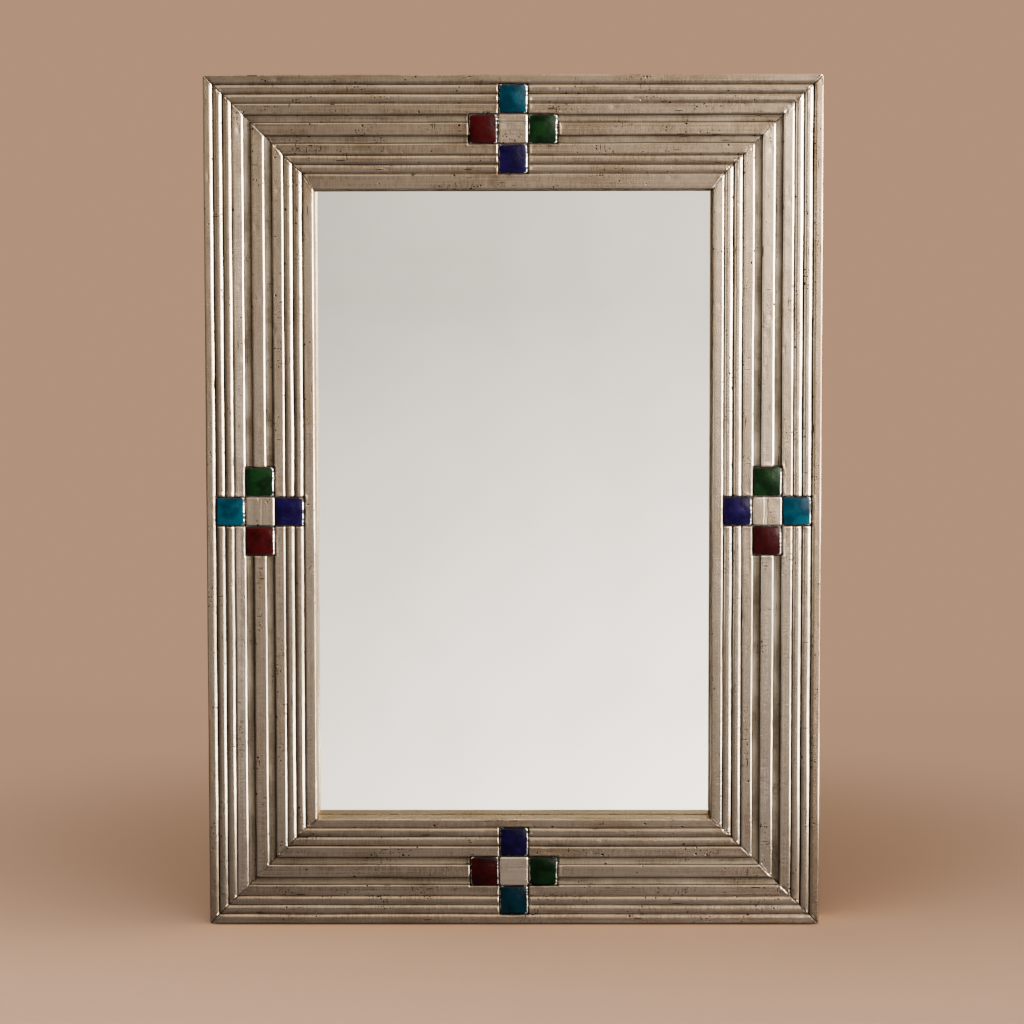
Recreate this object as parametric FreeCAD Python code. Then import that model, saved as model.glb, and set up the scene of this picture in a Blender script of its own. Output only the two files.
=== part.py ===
import FreeCAD
import Part
import math
import os
from collections import namedtuple

# Accent mirror: a mitred wooden frame sheathed in ribbed tin sheet, with a cross of four
# glazed tiles round a tin plate on each member, a mirror glass held in the rebate from
# behind, turn buttons on the back and two strap hangers with loose rings.
# Millimetres. X is the width, Z is up, the face looks toward -Y and the origin is the
# middle of the bottom of the bounding box.
# Every member is described by s along it from its middle, u inward from its outer edge
# and v backward from the crest of its ribs.

# Overall size
FRAME_WIDTH = 660.0
FRAME_HEIGHT = 914.0

# Face of a member, from the outer edge to the glass
OUTER_BAND = 10.5
NARROW_RIB = 10.0
NARROW_RIBS = 2
FLANK_BAND = 12.5
COVE_WIDTH = 7.5
CENTRE_BAND = 14.5
INNER_BAND = 12.0
TOP_INNER_BAND = 16.8
BOTTOM_INNER_BAND = 9.6
GROOVE_DEPTH = 2.0
SHOULDER_REACH = 2.2
RIB_SHOULDER_SHARE = 0.4
COVE_SAG = 0.9
EDGE_RADIUS = 1.6

# Tin sheet over the wood
SHEET = 0.6
BED_GAP = 0.15
FLANGE_WIDTH = 12.0
CORE_ARRIS = 0.8
REVEAL_SHY = 0.5

# Glass, cushion board and back panel in the rebate
REVEAL_DEPTH = 28.0
GLASS_THICK = 4.0
CUSHION_THICK = 4.0
PANEL_THICK = 4.0
PANEL_RECESS = 0.3
LIP_WIDTH = 9.0
REBATE_PLAY = 1.0
GLASS_ARRIS = 0.6

# Tile crosses
TILE_PITCH = 31.75
TILE_SIZE = 30.2
TILE_THICK = 7.6
TILE_PROUD = 1.4
TILE_CROWN = 1.0
TILE_CORNER = 2.2
TILE_EDGE = 1.6
PLATE_PLAY = 0.4
PLATE_PROUD = 0.6
PLATE_SKIRT = 4.0
PLATE_CORNER = 2.4
PLATE_EDGE = 1.8
CROSS_DROP = 8.5

# Splines across the mitres
SPLINE_THICK = 4.0
SPLINE_SPAN = 56.0
SPLINE_RUN = 60.0
SPLINE_PLAY = 0.1
SPLINE_SET = 20.0

# Tacks through the back flange
TACK_SPACING = 145.0
TACK_END = 40.0
TACK_HEAD_RADIUS = 2.4
TACK_HEAD = 0.9
TACK_SHANK_RADIUS = 0.7
TACK_SHANK = 9.0
HOLE_PLAY = 0.1

# Turn buttons and their screws
BUTTON_REACH = 20.0
BUTTON_WIDTH = 12.0
BUTTON_THICK = 1.4
BUTTON_EDGE = 0.3
BUTTON_FLOAT = 0.2
BUTTON_INSET = 10.0
BUTTON_SPREAD_SHARE = 0.5
SCREW_HEAD_RADIUS = 3.6
SCREW_HEAD = 2.2
SCREW_CROWN = 1.2
SCREW_SHANK_RADIUS = 1.6
SCREW_SHANK = 16.0
SCREW_TIP = 3.0
SCREW_SLOT = 0.9
SCREW_SLOT_DEPTH = 1.0

# Strap hangers and rings
HANGER_HEIGHT_SHARE = 0.72
STRAP_WIDTH = 13.0
STRAP_THICK = 1.2
STRAP_CORNER = 4.0
STRAP_SCREW_FIRST = 26.0
STRAP_SCREW_PITCH = 13.0
STRAP_END = 7.0
RING_WIRE_RADIUS = 1.5
RING_PLAY = 0.3
RING_HALF_WIDTH = 11.0
RING_LEG = 5.0
RING_CORNER = 2.8

# Wall bumpers
BUMPER_RADIUS = 7.0
BUMPER_HEIGHT = 7.5
BUMPER_EDGE = 1.5
BUMPER_FROM_END = 85.0

# Cutters run past what they cut by this much
OVERRUN = 5.0
NEAR = 0.001

# Sizes that follow
RIB_REACH = NARROW_RIB * RIB_SHOULDER_SHARE
RIBS_WIDTH = OUTER_BAND + CENTRE_BAND + 2 * (NARROW_RIBS * NARROW_RIB + FLANK_BAND + COVE_WIDTH)
CROSS_U = OUTER_BAND + NARROW_RIBS * NARROW_RIB + FLANK_BAND + COVE_WIDTH + CENTRE_BAND / 2
CORE_BACK = REVEAL_DEPTH + GLASS_THICK + CUSHION_THICK + PANEL_THICK + PANEL_RECESS
CORE_INSET = SHEET + BED_GAP
SHEET_BACK = CORE_BACK + CORE_INSET
BEND_RADIUS = CORE_INSET + CORE_ARRIS
POCKET_DEPTH = TILE_THICK - TILE_PROUD
FACE_Y = (TILE_PROUD - CORE_BACK - BUMPER_HEIGHT) / 2
STRAP_LENGTH = STRAP_SCREW_FIRST + STRAP_SCREW_PITCH + STRAP_END
BARREL_RADIUS = RING_WIRE_RADIUS + RING_PLAY + STRAP_THICK
BUTTON_SEAT = CORE_BACK + 2 * BUTTON_FLOAT + BUTTON_THICK
HANGER_S = FRAME_HEIGHT * HANGER_HEIGHT_SHARE - FRAME_HEIGHT / 2

Vector = FreeCAD.Vector
BACKWARD = Vector(0, 1, 0)
Member = namedtuple("Member", "name length inner ends shift origin along inward")
Step = namedtuple("Step", "points leans")


def members():
    """The four members: inner band, inner bands met at its ends, shift of its cross, directions."""
    right = Vector(1, 0, 0)
    up = Vector(0, 0, 1)
    half_width = FRAME_WIDTH / 2
    half_height = FRAME_HEIGHT / 2
    stiles = (INNER_BAND, INNER_BAND)
    rails = (BOTTOM_INNER_BAND, TOP_INNER_BAND)
    return [
        Member("top", FRAME_WIDTH, TOP_INNER_BAND, stiles, 0,
               Vector(0, FACE_Y, FRAME_HEIGHT), right, -up),
        Member("bottom", FRAME_WIDTH, BOTTOM_INNER_BAND, stiles, 0, Vector(0, FACE_Y, 0), right, up),
        Member("left", FRAME_HEIGHT, INNER_BAND, rails, -CROSS_DROP,
               Vector(-half_width, FACE_Y, half_height), up, right),
        Member("right", FRAME_HEIGHT, INNER_BAND, rails, -CROSS_DROP,
               Vector(half_width, FACE_Y, half_height), up, -right),
    ]


def width(member):
    """The width of a member, from its outer edge to the sight opening."""
    return RIBS_WIDTH + member.inner


def rebate(member):
    """How far inward the rebate's wall stands."""
    return width(member) - LIP_WIDTH


def button_u(member):
    """How far inward the screws of the turn buttons stand."""
    return rebate(member) - BUTTON_INSET


def spot(member, s, u, v):
    """A point of a member in the shared frame."""
    return member.origin + member.along * s + member.inward * u + BACKWARD * v


def prism(member, outline, front, back):
    """A straight prism over an (s, u) outline, from depth front to depth back."""
    corners = [spot(member, s, u, front) for s, u in outline]
    face = Part.Face(Part.makePolygon(corners + corners[:1]))
    return face.extrude(BACKWARD * (back - front))


def square(s, u, side):
    """The outline of a square centred on (s, u)."""
    half = side / 2
    return [(s - half, u - half), (s + half, u - half), (s + half, u + half), (s - half, u + half)]


def peg(member, s, u, radius, front, back):
    """A cylinder square to the face, from depth front to depth back."""
    return Part.makeCylinder(radius, back - front, spot(member, s, u, front), BACKWARD)


def straight(start, end):
    """A straight step of the face outline with its lean into the wood."""
    way = (end - start).normalize()
    lean = Vector(-way.y, way.x, 0)
    return Step((start, end), (lean, lean))


def curve(start, end, centre, hollow=False):
    """A circular step of the face outline, swelling outward unless hollow."""
    middle = centre + (start + end - centre * 2).normalize() * (start - centre).Length
    points = (start, middle, end)
    sign = 1 if hollow else -1
    return Step(points, tuple((point - centre).normalize() * sign for point in points))


def shoulder_radius(reach):
    """The radius of a shoulder that drops to the groove over a reach."""
    return (reach ** 2 + GROOVE_DEPTH ** 2) / (2 * GROOVE_DEPTH)


def rise(start_u, reach):
    """The rounded shoulder of a rib up from the groove at start_u."""
    crest = start_u + reach
    return curve(Vector(start_u, GROOVE_DEPTH, 0), Vector(crest, 0, 0),
                 Vector(crest, shoulder_radius(reach), 0))


def fall(end_u, reach):
    """The rounded shoulder of a rib down to the groove at end_u."""
    crest = end_u - reach
    return curve(Vector(crest, 0, 0), Vector(end_u, GROOVE_DEPTH, 0),
                 Vector(crest, shoulder_radius(reach), 0))


def band(start_u, end_u, reach=SHOULDER_REACH):
    """A flat rib that rises from a groove and falls to the next one."""
    top = straight(Vector(start_u + reach, 0, 0), Vector(end_u - reach, 0, 0))
    return [rise(start_u, reach), top, fall(end_u, reach)]


def narrow(start_u, end_u):
    """A narrow rib, whose shoulders are wider than a band's."""
    return band(start_u, end_u, RIB_REACH)


def cove(start_u, end_u):
    """One wide hollow groove between two bands."""
    half = (end_u - start_u) / 2
    radius = half ** 2 / (2 * COVE_SAG) + COVE_SAG / 2
    centre = Vector(start_u + half, GROOVE_DEPTH + COVE_SAG - radius, 0)
    return [curve(Vector(start_u, GROOVE_DEPTH, 0), Vector(end_u, GROOVE_DEPTH, 0), centre, True)]


def face_outline(member):
    """The outer line of a member's sheet, from the back flange round the face to the glass."""
    wide = width(member)
    bend = Vector(BEND_RADIUS, SHEET_BACK - BEND_RADIUS, 0)
    steps = [
        straight(Vector(FLANGE_WIDTH, SHEET_BACK, 0), Vector(BEND_RADIUS, SHEET_BACK, 0)),
        curve(Vector(BEND_RADIUS, SHEET_BACK, 0), Vector(0, bend.y, 0), bend),
        straight(Vector(0, bend.y, 0), Vector(0, EDGE_RADIUS, 0)),
        curve(Vector(0, EDGE_RADIUS, 0), Vector(EDGE_RADIUS, 0, 0),
              Vector(EDGE_RADIUS, EDGE_RADIUS, 0)),
        straight(Vector(EDGE_RADIUS, 0, 0), Vector(OUTER_BAND - RIB_REACH, 0, 0)),
        fall(OUTER_BAND, RIB_REACH),
    ]
    ribs = [(narrow, NARROW_RIB)] * NARROW_RIBS + [(band, FLANK_BAND), (cove, COVE_WIDTH)]
    u = OUTER_BAND
    for rib, span in ribs + [(band, CENTRE_BAND)] + ribs[::-1]:
        steps += rib(u, u + span)
        u += span
    inner = wide - EDGE_RADIUS
    steps += [
        rise(u, SHOULDER_REACH),
        straight(Vector(u + SHOULDER_REACH, 0, 0), Vector(inner, 0, 0)),
        curve(Vector(inner, 0, 0), Vector(wide, EDGE_RADIUS, 0), Vector(inner, EDGE_RADIUS, 0)),
        straight(Vector(wide, EDGE_RADIUS, 0), Vector(wide, REVEAL_DEPTH - REVEAL_SHY, 0)),
    ]
    return steps


def edge_through(points):
    """A line through two points or an arc through three."""
    if len(points) == 2:
        return Part.makeLine(*points)
    return Part.Arc(*points).toShape()


def inset_edges(steps, inset, place):
    """The face outline moved into the wood by inset, rounded where grooves end in a point."""
    edges = []
    for step, following in zip(steps, steps[1:] + [None]):
        moved = [point + lean * inset for point, lean in zip(step.points, step.leans)]
        edges.append(edge_through([place(point) for point in moved]))
        if following is None or not inset:
            continue
        leans = [step.leans[-1], following.leans[0]]
        if leans[0].getAngle(leans[1]) > NEAR:
            leans.insert(1, (leans[0] + leans[1]).normalize())
            fan = [step.points[-1] + lean * inset for lean in leans]
            edges.append(edge_through([place(point) for point in fan]))
    return edges


def mitred(member, edges):
    """A member run out from its end section and mitred so that every rib meets its neighbour."""
    wire = Part.Wire(Part.__sortEdges__(edges))
    run = Part.Face(wire).extrude(member.along * (member.length + 2 * OVERRUN))
    half = member.length / 2
    bend = half - RIBS_WIDTH
    far = width(member) + OVERRUN
    low, high = (bend - (far - RIBS_WIDTH) * met / member.inner for met in member.ends)
    ends = [(-half - OVERRUN, -OVERRUN), (half + OVERRUN, -OVERRUN), (bend, RIBS_WIDTH),
            (high, far), (-low, far), (-bend, RIBS_WIDTH)]
    return run.common(prism(member, ends, -OVERRUN, SHEET_BACK + OVERRUN)).Solids[0]


def end_section(member):
    """The mapping of section points (u, v) onto the plane just past the member's end."""
    start = -member.length / 2 - OVERRUN
    return lambda point: spot(member, start, point.x, point.y)


def cross_outline(member, grown=0):
    """The outline of five squares set as a cross on a member, grown all round."""
    half = TILE_PITCH / 2 + grown
    arm = half + TILE_PITCH
    turns = [(-half, -arm), (half, -arm), (half, -half), (arm, -half), (arm, half), (half, half),
             (half, arm), (-half, arm), (-half, half), (-arm, half), (-arm, -half), (-half, -half)]
    return [(member.shift + s, CROSS_U + u) for s, u in turns]


def tack_places(member):
    """Where tacks stand along a member, evenly spread."""
    reach = member.length / 2 - TACK_END
    gaps = max(1, round(2 * reach / TACK_SPACING))
    return [-reach + 2 * reach * step / gaps for step in range(gaps + 1)]


def button_places(member):
    """Where the two turn buttons of a member stand."""
    half = (member.length - sum(member.ends)) / 2 - RIBS_WIDTH
    return [-half * BUTTON_SPREAD_SHARE, half * BUTTON_SPREAD_SHARE]


def hanger_screw_places():
    """How far along a stile the two screws of a strap stand."""
    first = HANGER_S - STRAP_SCREW_FIRST
    return [first, first - STRAP_SCREW_PITCH]


def cladding(member):
    """The embossed tin sheath of one member, turned down into the pocket of the tile cross."""
    place = end_section(member)
    steps = face_outline(member)
    outer = inset_edges(steps, 0, place)
    inner = inset_edges(steps, SHEET, place)
    ends = []
    for step, end in ((steps[0], 0), (steps[-1], -1)):
        lip = step.points[end]
        ends.append(edge_through([place(lip), place(lip + step.leans[end] * SHEET)]))
    sheath = mitred(member, outer + inner + ends)
    holes = [peg(member, s, FLANGE_WIDTH / 2, TACK_SHANK_RADIUS + HOLE_PLAY,
                 CORE_BACK, SHEET_BACK + OVERRUN) for s in tack_places(member)]
    opening = prism(member, cross_outline(member), -OVERRUN, POCKET_DEPTH + OVERRUN)
    turned = prism(member, cross_outline(member, SHEET), -OVERRUN, POCKET_DEPTH)
    face = outer + [edge_through([place(steps[-1].points[-1]), place(steps[0].points[0])])]
    return sheath.fuse(turned.common(mitred(member, face))).cut([opening] + holes).removeSplitter()


def rounded_block(member, s, side, u, top, bottom, corner, edge, crown=0):
    """A square block with rounded uprights and rim, its top swelling by crown."""
    block = prism(member, square(s, u, side), top - OVERRUN if crown else top, bottom)
    uprights = [e for e in block.Edges if abs(e.tangentAt(e.FirstParameter).y) > 1 - NEAR]
    block = block.makeFillet(corner, uprights)
    if crown:
        radius = ((side / 2) ** 2 + crown ** 2) / (2 * crown)
        block = block.common(Part.makeSphere(radius, spot(member, s, u, top + radius))).Solids[0]
    front = min(block.Faces, key=lambda face: face.CenterOfMass.y)
    return block.makeFillet(edge, front.Edges)


def cell(member, colour):
    """The (s, u) middle of the square that a colour takes in a member's cross."""
    return {
        "teal": (member.shift, CROSS_U - TILE_PITCH),
        "cobalt": (member.shift, CROSS_U + TILE_PITCH),
        "red": (member.shift - TILE_PITCH, CROSS_U),
        "green": (member.shift + TILE_PITCH, CROSS_U),
    }[colour]


def tile(member, colour):
    """One pillowed tile bedded on the floor of its pocket."""
    s, u = cell(member, colour)
    return rounded_block(member, s, TILE_SIZE, u, -TILE_PROUD, POCKET_DEPTH,
                         TILE_CORNER, TILE_EDGE, TILE_CROWN)


def plate_block(member, inset, bottom):
    """The centre plate's block moved in by inset on its top and four sides."""
    side = TILE_PITCH - 2 * (PLATE_PLAY + inset)
    return rounded_block(member, member.shift, side, CROSS_U, inset - PLATE_PROUD, bottom,
                         PLATE_CORNER - inset, PLATE_EDGE - inset)


def centre_plate(member):
    """The tin cap over the middle square of the cross."""
    skirt = PLATE_SKIRT - PLATE_PROUD
    return plate_block(member, 0, skirt).cut(plate_block(member, SHEET, skirt + OVERRUN))


def core(member):
    """The milled wooden moulding under the sheet, with pockets, post, slots and pilot holes."""
    place = end_section(member)
    steps = face_outline(member)
    inset = width(member) - CORE_INSET
    wall = rebate(member)
    back = [Vector(inset, REVEAL_DEPTH - REVEAL_SHY, 0), Vector(inset, REVEAL_DEPTH, 0),
            Vector(wall, REVEAL_DEPTH, 0), Vector(wall, CORE_BACK, 0),
            Vector(FLANGE_WIDTH, CORE_BACK, 0)]
    rest = [edge_through([place(a), place(b)]) for a, b in zip(back, back[1:])]
    wood = mitred(member, inset_edges(steps, CORE_INSET, place) + rest)
    cuts = [prism(member, cross_outline(member, CORE_INSET), -OVERRUN, POCKET_DEPTH)]
    cuts += [spline(corner, SPLINE_PLAY) for corner in corners()]
    cuts += [peg(member, s, FLANGE_WIDTH / 2, TACK_SHANK_RADIUS + HOLE_PLAY,
                 SHEET_BACK - TACK_SHANK - HOLE_PLAY, CORE_BACK + OVERRUN) for s in tack_places(member)]
    cuts += [pilot(member, s, button_u(member), BUTTON_SEAT) for s in button_places(member)]
    if member.name in ("left", "right"):
        cuts += [pilot(member, s, CROSS_U, CORE_BACK + STRAP_THICK) for s in hanger_screw_places()]
    post = plate_block(member, CORE_INSET, POCKET_DEPTH + OVERRUN)
    return wood.cut(cuts).fuse(post).removeSplitter()


def corners():
    """Each corner's name, outermost point on the face plane and the two ways inward."""
    found = []
    for level, z, up in (("top", FRAME_HEIGHT, -1), ("bottom", 0, 1)):
        for side, x in (("left", -1), ("right", 1)):
            point = Vector(x * FRAME_WIDTH / 2, FACE_Y, z)
            found.append((level + "_" + side, point, Vector(-x, 0, up)))
    return found


def spline(corner, play):
    """A flat plywood key across one mitre, grown all round by play."""
    _, point, inward = corner
    middle = point + inward * CROSS_U + BACKWARD * (SPLINE_SET - SPLINE_THICK / 2 - play)
    along = Vector(inward).normalize() * (SPLINE_RUN / 2 + play)
    across = along.cross(BACKWARD).normalize() * (SPLINE_SPAN / 2 + play)
    turns = [middle + along + across, middle + along - across,
             middle - along - across, middle - along + across]
    face = Part.Face(Part.makePolygon(turns + turns[:1]))
    return face.extrude(BACKWARD * (SPLINE_THICK + 2 * play))


def tack(member, s):
    """One domed tack through the back flange into the wood."""
    u = FLANGE_WIDTH / 2
    head = peg(member, s, u, TACK_HEAD_RADIUS, SHEET_BACK, SHEET_BACK + TACK_HEAD)
    head = head.makeFillet(TACK_HEAD / 2, [rear_rim(head)])
    shank = peg(member, s, u, TACK_SHANK_RADIUS, SHEET_BACK - TACK_SHANK, SHEET_BACK)
    return head.fuse(shank).removeSplitter()


def rear_rim(round_piece):
    """The round edge of an upright cylinder farthest from the face."""
    return max(round_piece.Edges, key=lambda edge: edge.CenterOfMass.y)


def screw(member, s, u, seat):
    """A slotted round-head wood screw with its head bearing at depth seat."""
    head = peg(member, s, u, SCREW_HEAD_RADIUS, seat, seat + SCREW_HEAD)
    head = head.makeFillet(SCREW_CROWN, [rear_rim(head)])
    reach = SCREW_HEAD_RADIUS + OVERRUN
    half = SCREW_SLOT / 2
    slot = [(s - reach, u - half), (s + reach, u - half), (s + reach, u + half), (s - reach, u + half)]
    crown = seat + SCREW_HEAD
    head = head.cut(prism(member, slot, crown - SCREW_SLOT_DEPTH, crown + OVERRUN))
    shank = peg(member, s, u, SCREW_SHANK_RADIUS, seat - SCREW_SHANK + SCREW_TIP, seat)
    point = spot(member, s, u, seat - SCREW_SHANK)
    tip = Part.makeCone(0, SCREW_SHANK_RADIUS, SCREW_TIP, point, BACKWARD)
    return head.fuse([shank, tip]).removeSplitter()


def pilot(member, s, u, seat):
    """The hole in the wood for a screw whose head bears at depth seat."""
    return peg(member, s, u, SCREW_SHANK_RADIUS + HOLE_PLAY,
               seat - SCREW_SHANK - HOLE_PLAY, CORE_BACK + OVERRUN)


def turn_button(member, s):
    """A round-ended strip on its screw, turned in over the back panel."""
    half = BUTTON_WIDTH / 2
    depth = CORE_BACK + BUTTON_FLOAT
    pivot = button_u(member)
    far = pivot + BUTTON_REACH
    line = [(s - half, pivot), (s, pivot - half), (s + half, pivot),
            (s + half, far), (s, far + half), (s - half, far)]
    turns = [spot(member, a, b, depth) for a, b in line]
    edges = [edge_through(turns[:3]), edge_through(turns[2:4]),
             edge_through(turns[3:]), edge_through([turns[-1], turns[0]])]
    strip = Part.Face(Part.Wire(edges)).extrude(BACKWARD * BUTTON_THICK)
    rear = max(strip.Faces, key=lambda face: face.CenterOfMass.y)
    strip = strip.makeFillet(BUTTON_EDGE, rear.Edges)
    return strip.cut(peg(member, s, pivot, SCREW_SHANK_RADIUS + HOLE_PLAY,
                         depth - OVERRUN, depth + OVERRUN))


def hanger_strap(member):
    """A steel strap with its upper end rolled into a barrel for the ring."""
    half = STRAP_WIDTH / 2
    toe = HANGER_S - STRAP_LENGTH
    outline = [(toe, CROSS_U - half), (HANGER_S, CROSS_U - half),
               (HANGER_S, CROSS_U + half), (toe, CROSS_U + half)]
    strap = prism(member, outline, CORE_BACK, CORE_BACK + STRAP_THICK)
    low = min(edge.CenterOfMass.z for edge in strap.Edges)
    ends = [e for e in strap.Edges
            if abs(e.tangentAt(e.FirstParameter).y) > 1 - NEAR and e.CenterOfMass.z < low + NEAR]
    strap = strap.makeFillet(STRAP_CORNER, ends)
    base = spot(member, HANGER_S, CROSS_U - half, CORE_BACK + BARREL_RADIUS)
    barrel = Part.makeCylinder(BARREL_RADIUS, STRAP_WIDTH, base, member.inward)
    bore = Part.makeCylinder(BARREL_RADIUS - STRAP_THICK, STRAP_WIDTH + 2 * OVERRUN,
                             base - member.inward * OVERRUN, member.inward)
    holes = [peg(member, s, CROSS_U, SCREW_SHANK_RADIUS + HOLE_PLAY,
                 CORE_BACK - OVERRUN, CORE_BACK + OVERRUN) for s in hanger_screw_places()]
    return strap.fuse(barrel).cut([bore] + holes).removeSplitter()


def hanger_ring(member):
    """The bent wire ring hanging down from the strap's barrel."""
    depth = CORE_BACK + BARREL_RADIUS
    bar = RING_HALF_WIDTH - RING_CORNER
    bend = RING_CORNER - RING_CORNER * math.cos(math.pi / 4)
    line = [(0, -bar), (0, bar), (-bend, RING_HALF_WIDTH - bend), (-RING_CORNER, RING_HALF_WIDTH),
            (-RING_LEG, RING_HALF_WIDTH), (-RING_LEG - RING_HALF_WIDTH, 0), (-RING_LEG, -RING_HALF_WIDTH),
            (-RING_CORNER, -RING_HALF_WIDTH), (-bend, bend - RING_HALF_WIDTH)]
    turns = [spot(member, HANGER_S + s, CROSS_U + u, depth) for s, u in line]
    path = Part.Wire([edge_through(turns[:2]), edge_through(turns[1:4]), edge_through(turns[3:5]),
                      edge_through(turns[4:7]), edge_through(turns[6:8]),
                      edge_through(turns[7:] + turns[:1])])
    wire = Part.Wire(Part.Circle(turns[0], member.inward, RING_WIRE_RADIUS).toShape())
    return path.makePipeShell([wire], True, False)


def pack_sheet(front, thick, arris=0):
    """A sheet filling the rebate, its front at depth front, with its edges eased by arris."""
    top, bottom, left, right = (rebate(member) + REBATE_PLAY for member in members())
    corner = Vector(left - FRAME_WIDTH / 2, FACE_Y + front, bottom)
    sheet = Part.makeBox(FRAME_WIDTH - left - right, thick, FRAME_HEIGHT - top - bottom, corner)
    return sheet.makeChamfer(arris, sheet.Edges) if arris else sheet


def bumper(member, s):
    """A round rubber foot that keeps the lower edge off the wall."""
    foot = peg(member, s, CROSS_U, BUMPER_RADIUS, CORE_BACK, CORE_BACK + BUMPER_HEIGHT)
    return foot.makeFillet(BUMPER_EDGE, [rear_rim(foot)])


def frame_pieces():
    """The wood, sheet, tiles and plates of the four members."""
    pieces = {}
    for member in members():
        wood = "rail" if member.name in ("top", "bottom") else "stile"
        pieces[f"{member.name}_{wood}_core"] = core(member)
        pieces[f"{member.name}_cladding"] = cladding(member)
        pieces[f"{member.name}_centre_plate"] = centre_plate(member)
        for colour in ("teal", "cobalt", "red", "green"):
            pieces[f"{member.name}_{colour}_tile"] = tile(member, colour)
    for corner in corners():
        pieces[f"{corner[0]}_spline"] = spline(corner, 0)
    tacks = [tack(member, s) for member in members() for s in tack_places(member)]
    pieces["cladding_tacks"] = Part.makeCompound(tacks)
    return pieces


def mirror_pieces():
    """The glass, the board behind it and the panel that closes the back."""
    cushion = REVEAL_DEPTH + GLASS_THICK
    return {
        "mirror_glass": pack_sheet(REVEAL_DEPTH, GLASS_THICK, GLASS_ARRIS),
        "cushion_board": pack_sheet(cushion, CUSHION_THICK),
        "back_panel": pack_sheet(cushion + CUSHION_THICK, PANEL_THICK),
    }


def back_pieces():
    """Turn buttons, hangers, screws and bumpers on the back."""
    pieces = {}
    button_screws = []
    hanger_screws = []
    for member in members():
        ends = ("left", "right") if member.name in ("top", "bottom") else ("lower", "upper")
        for end, s in zip(ends, button_places(member)):
            pieces[f"{member.name}_{end}_turn_button"] = turn_button(member, s)
            button_screws.append(screw(member, s, button_u(member), BUTTON_SEAT))
        if member.name in ("left", "right"):
            pieces[f"{member.name}_hanger_strap"] = hanger_strap(member)
            pieces[f"{member.name}_hanger_ring"] = hanger_ring(member)
            hanger_screws += [screw(member, s, CROSS_U, CORE_BACK + STRAP_THICK)
                              for s in hanger_screw_places()]
        if member.name == "bottom":
            reach = member.length / 2 - BUMPER_FROM_END
            pieces["left_bumper"] = bumper(member, -reach)
            pieces["right_bumper"] = bumper(member, reach)
    pieces["turn_button_screws"] = Part.makeCompound(button_screws)
    pieces["hanger_screws"] = Part.makeCompound(hanger_screws)
    return pieces


def main():
    """Write every piece as its own file."""
    os.makedirs("parts", exist_ok=True)
    pieces = {**frame_pieces(), **mirror_pieces(), **back_pieces()}
    for node, shape in pieces.items():
        shape.exportStep(f"parts/{node}.step")


if __name__ == "__main__":
    main()
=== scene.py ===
"""Looks of the accent mirror: ribbed tin over a mitred frame, with a cross of glazed tiles on each member."""
import logging
import math
from dataclasses import dataclass, field
from enum import Enum
from typing import Any, Sequence

import bmesh
import bpy
import numpy as np
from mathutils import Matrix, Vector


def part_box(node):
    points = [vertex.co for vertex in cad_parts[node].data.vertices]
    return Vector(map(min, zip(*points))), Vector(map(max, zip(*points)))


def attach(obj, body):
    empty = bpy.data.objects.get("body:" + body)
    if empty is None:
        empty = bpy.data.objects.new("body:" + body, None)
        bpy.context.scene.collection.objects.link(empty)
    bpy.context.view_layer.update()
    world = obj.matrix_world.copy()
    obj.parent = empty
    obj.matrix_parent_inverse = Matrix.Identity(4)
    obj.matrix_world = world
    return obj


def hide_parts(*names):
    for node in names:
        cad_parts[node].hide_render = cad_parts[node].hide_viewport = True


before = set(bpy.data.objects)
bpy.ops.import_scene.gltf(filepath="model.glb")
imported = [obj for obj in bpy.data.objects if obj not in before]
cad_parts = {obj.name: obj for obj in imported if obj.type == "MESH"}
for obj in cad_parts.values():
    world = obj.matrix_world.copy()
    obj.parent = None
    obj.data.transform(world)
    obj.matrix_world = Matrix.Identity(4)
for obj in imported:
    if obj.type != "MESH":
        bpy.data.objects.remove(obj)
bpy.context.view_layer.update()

log = logging.getLogger("accent_mirror")

Socket = bpy.types.NodeSocket
Pair = tuple[float, float]
Triple = tuple[float, float, float]

MM = 0.001
FIXED_BODY = "frame"
EYE_DISTANCE = 3.127
CORNER_EASE = 3.0 * MM
SHEET_GRAIN = (0.37, 0.11, 1.7)
PLATE_GRAIN = (0.37, 0.11, 0.9)


def micron(length: float) -> float:
    """A length read from a mesh, to the nearest micrometre."""
    return round(length / MM, 3) * MM


def box_size(node: str) -> Triple:
    """The size of a node's box along each axis, in metres."""
    return tuple(micron(high - low) for low, high in zip(*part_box(node)))


def box_middle(node: str) -> Triple:
    """The middle of a node's box, in metres."""
    return tuple(micron((low + high) / 2) for low, high in zip(*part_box(node)))


FRAME_WIDTH = box_size("top_cladding")[0]
FRAME_HEIGHT = box_size("left_cladding")[2]
CREST_Y = micron(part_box("top_cladding")[0].y)


class Side(Enum):
    """The four members of the frame."""

    TOP = "top"
    BOTTOM = "bottom"
    LEFT = "left"
    RIGHT = "right"


class Enamel(Enum):
    """The four glaze colours of a cross."""

    TEAL = "teal"
    COBALT = "cobalt"
    RED = "red"
    GREEN = "green"


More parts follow.
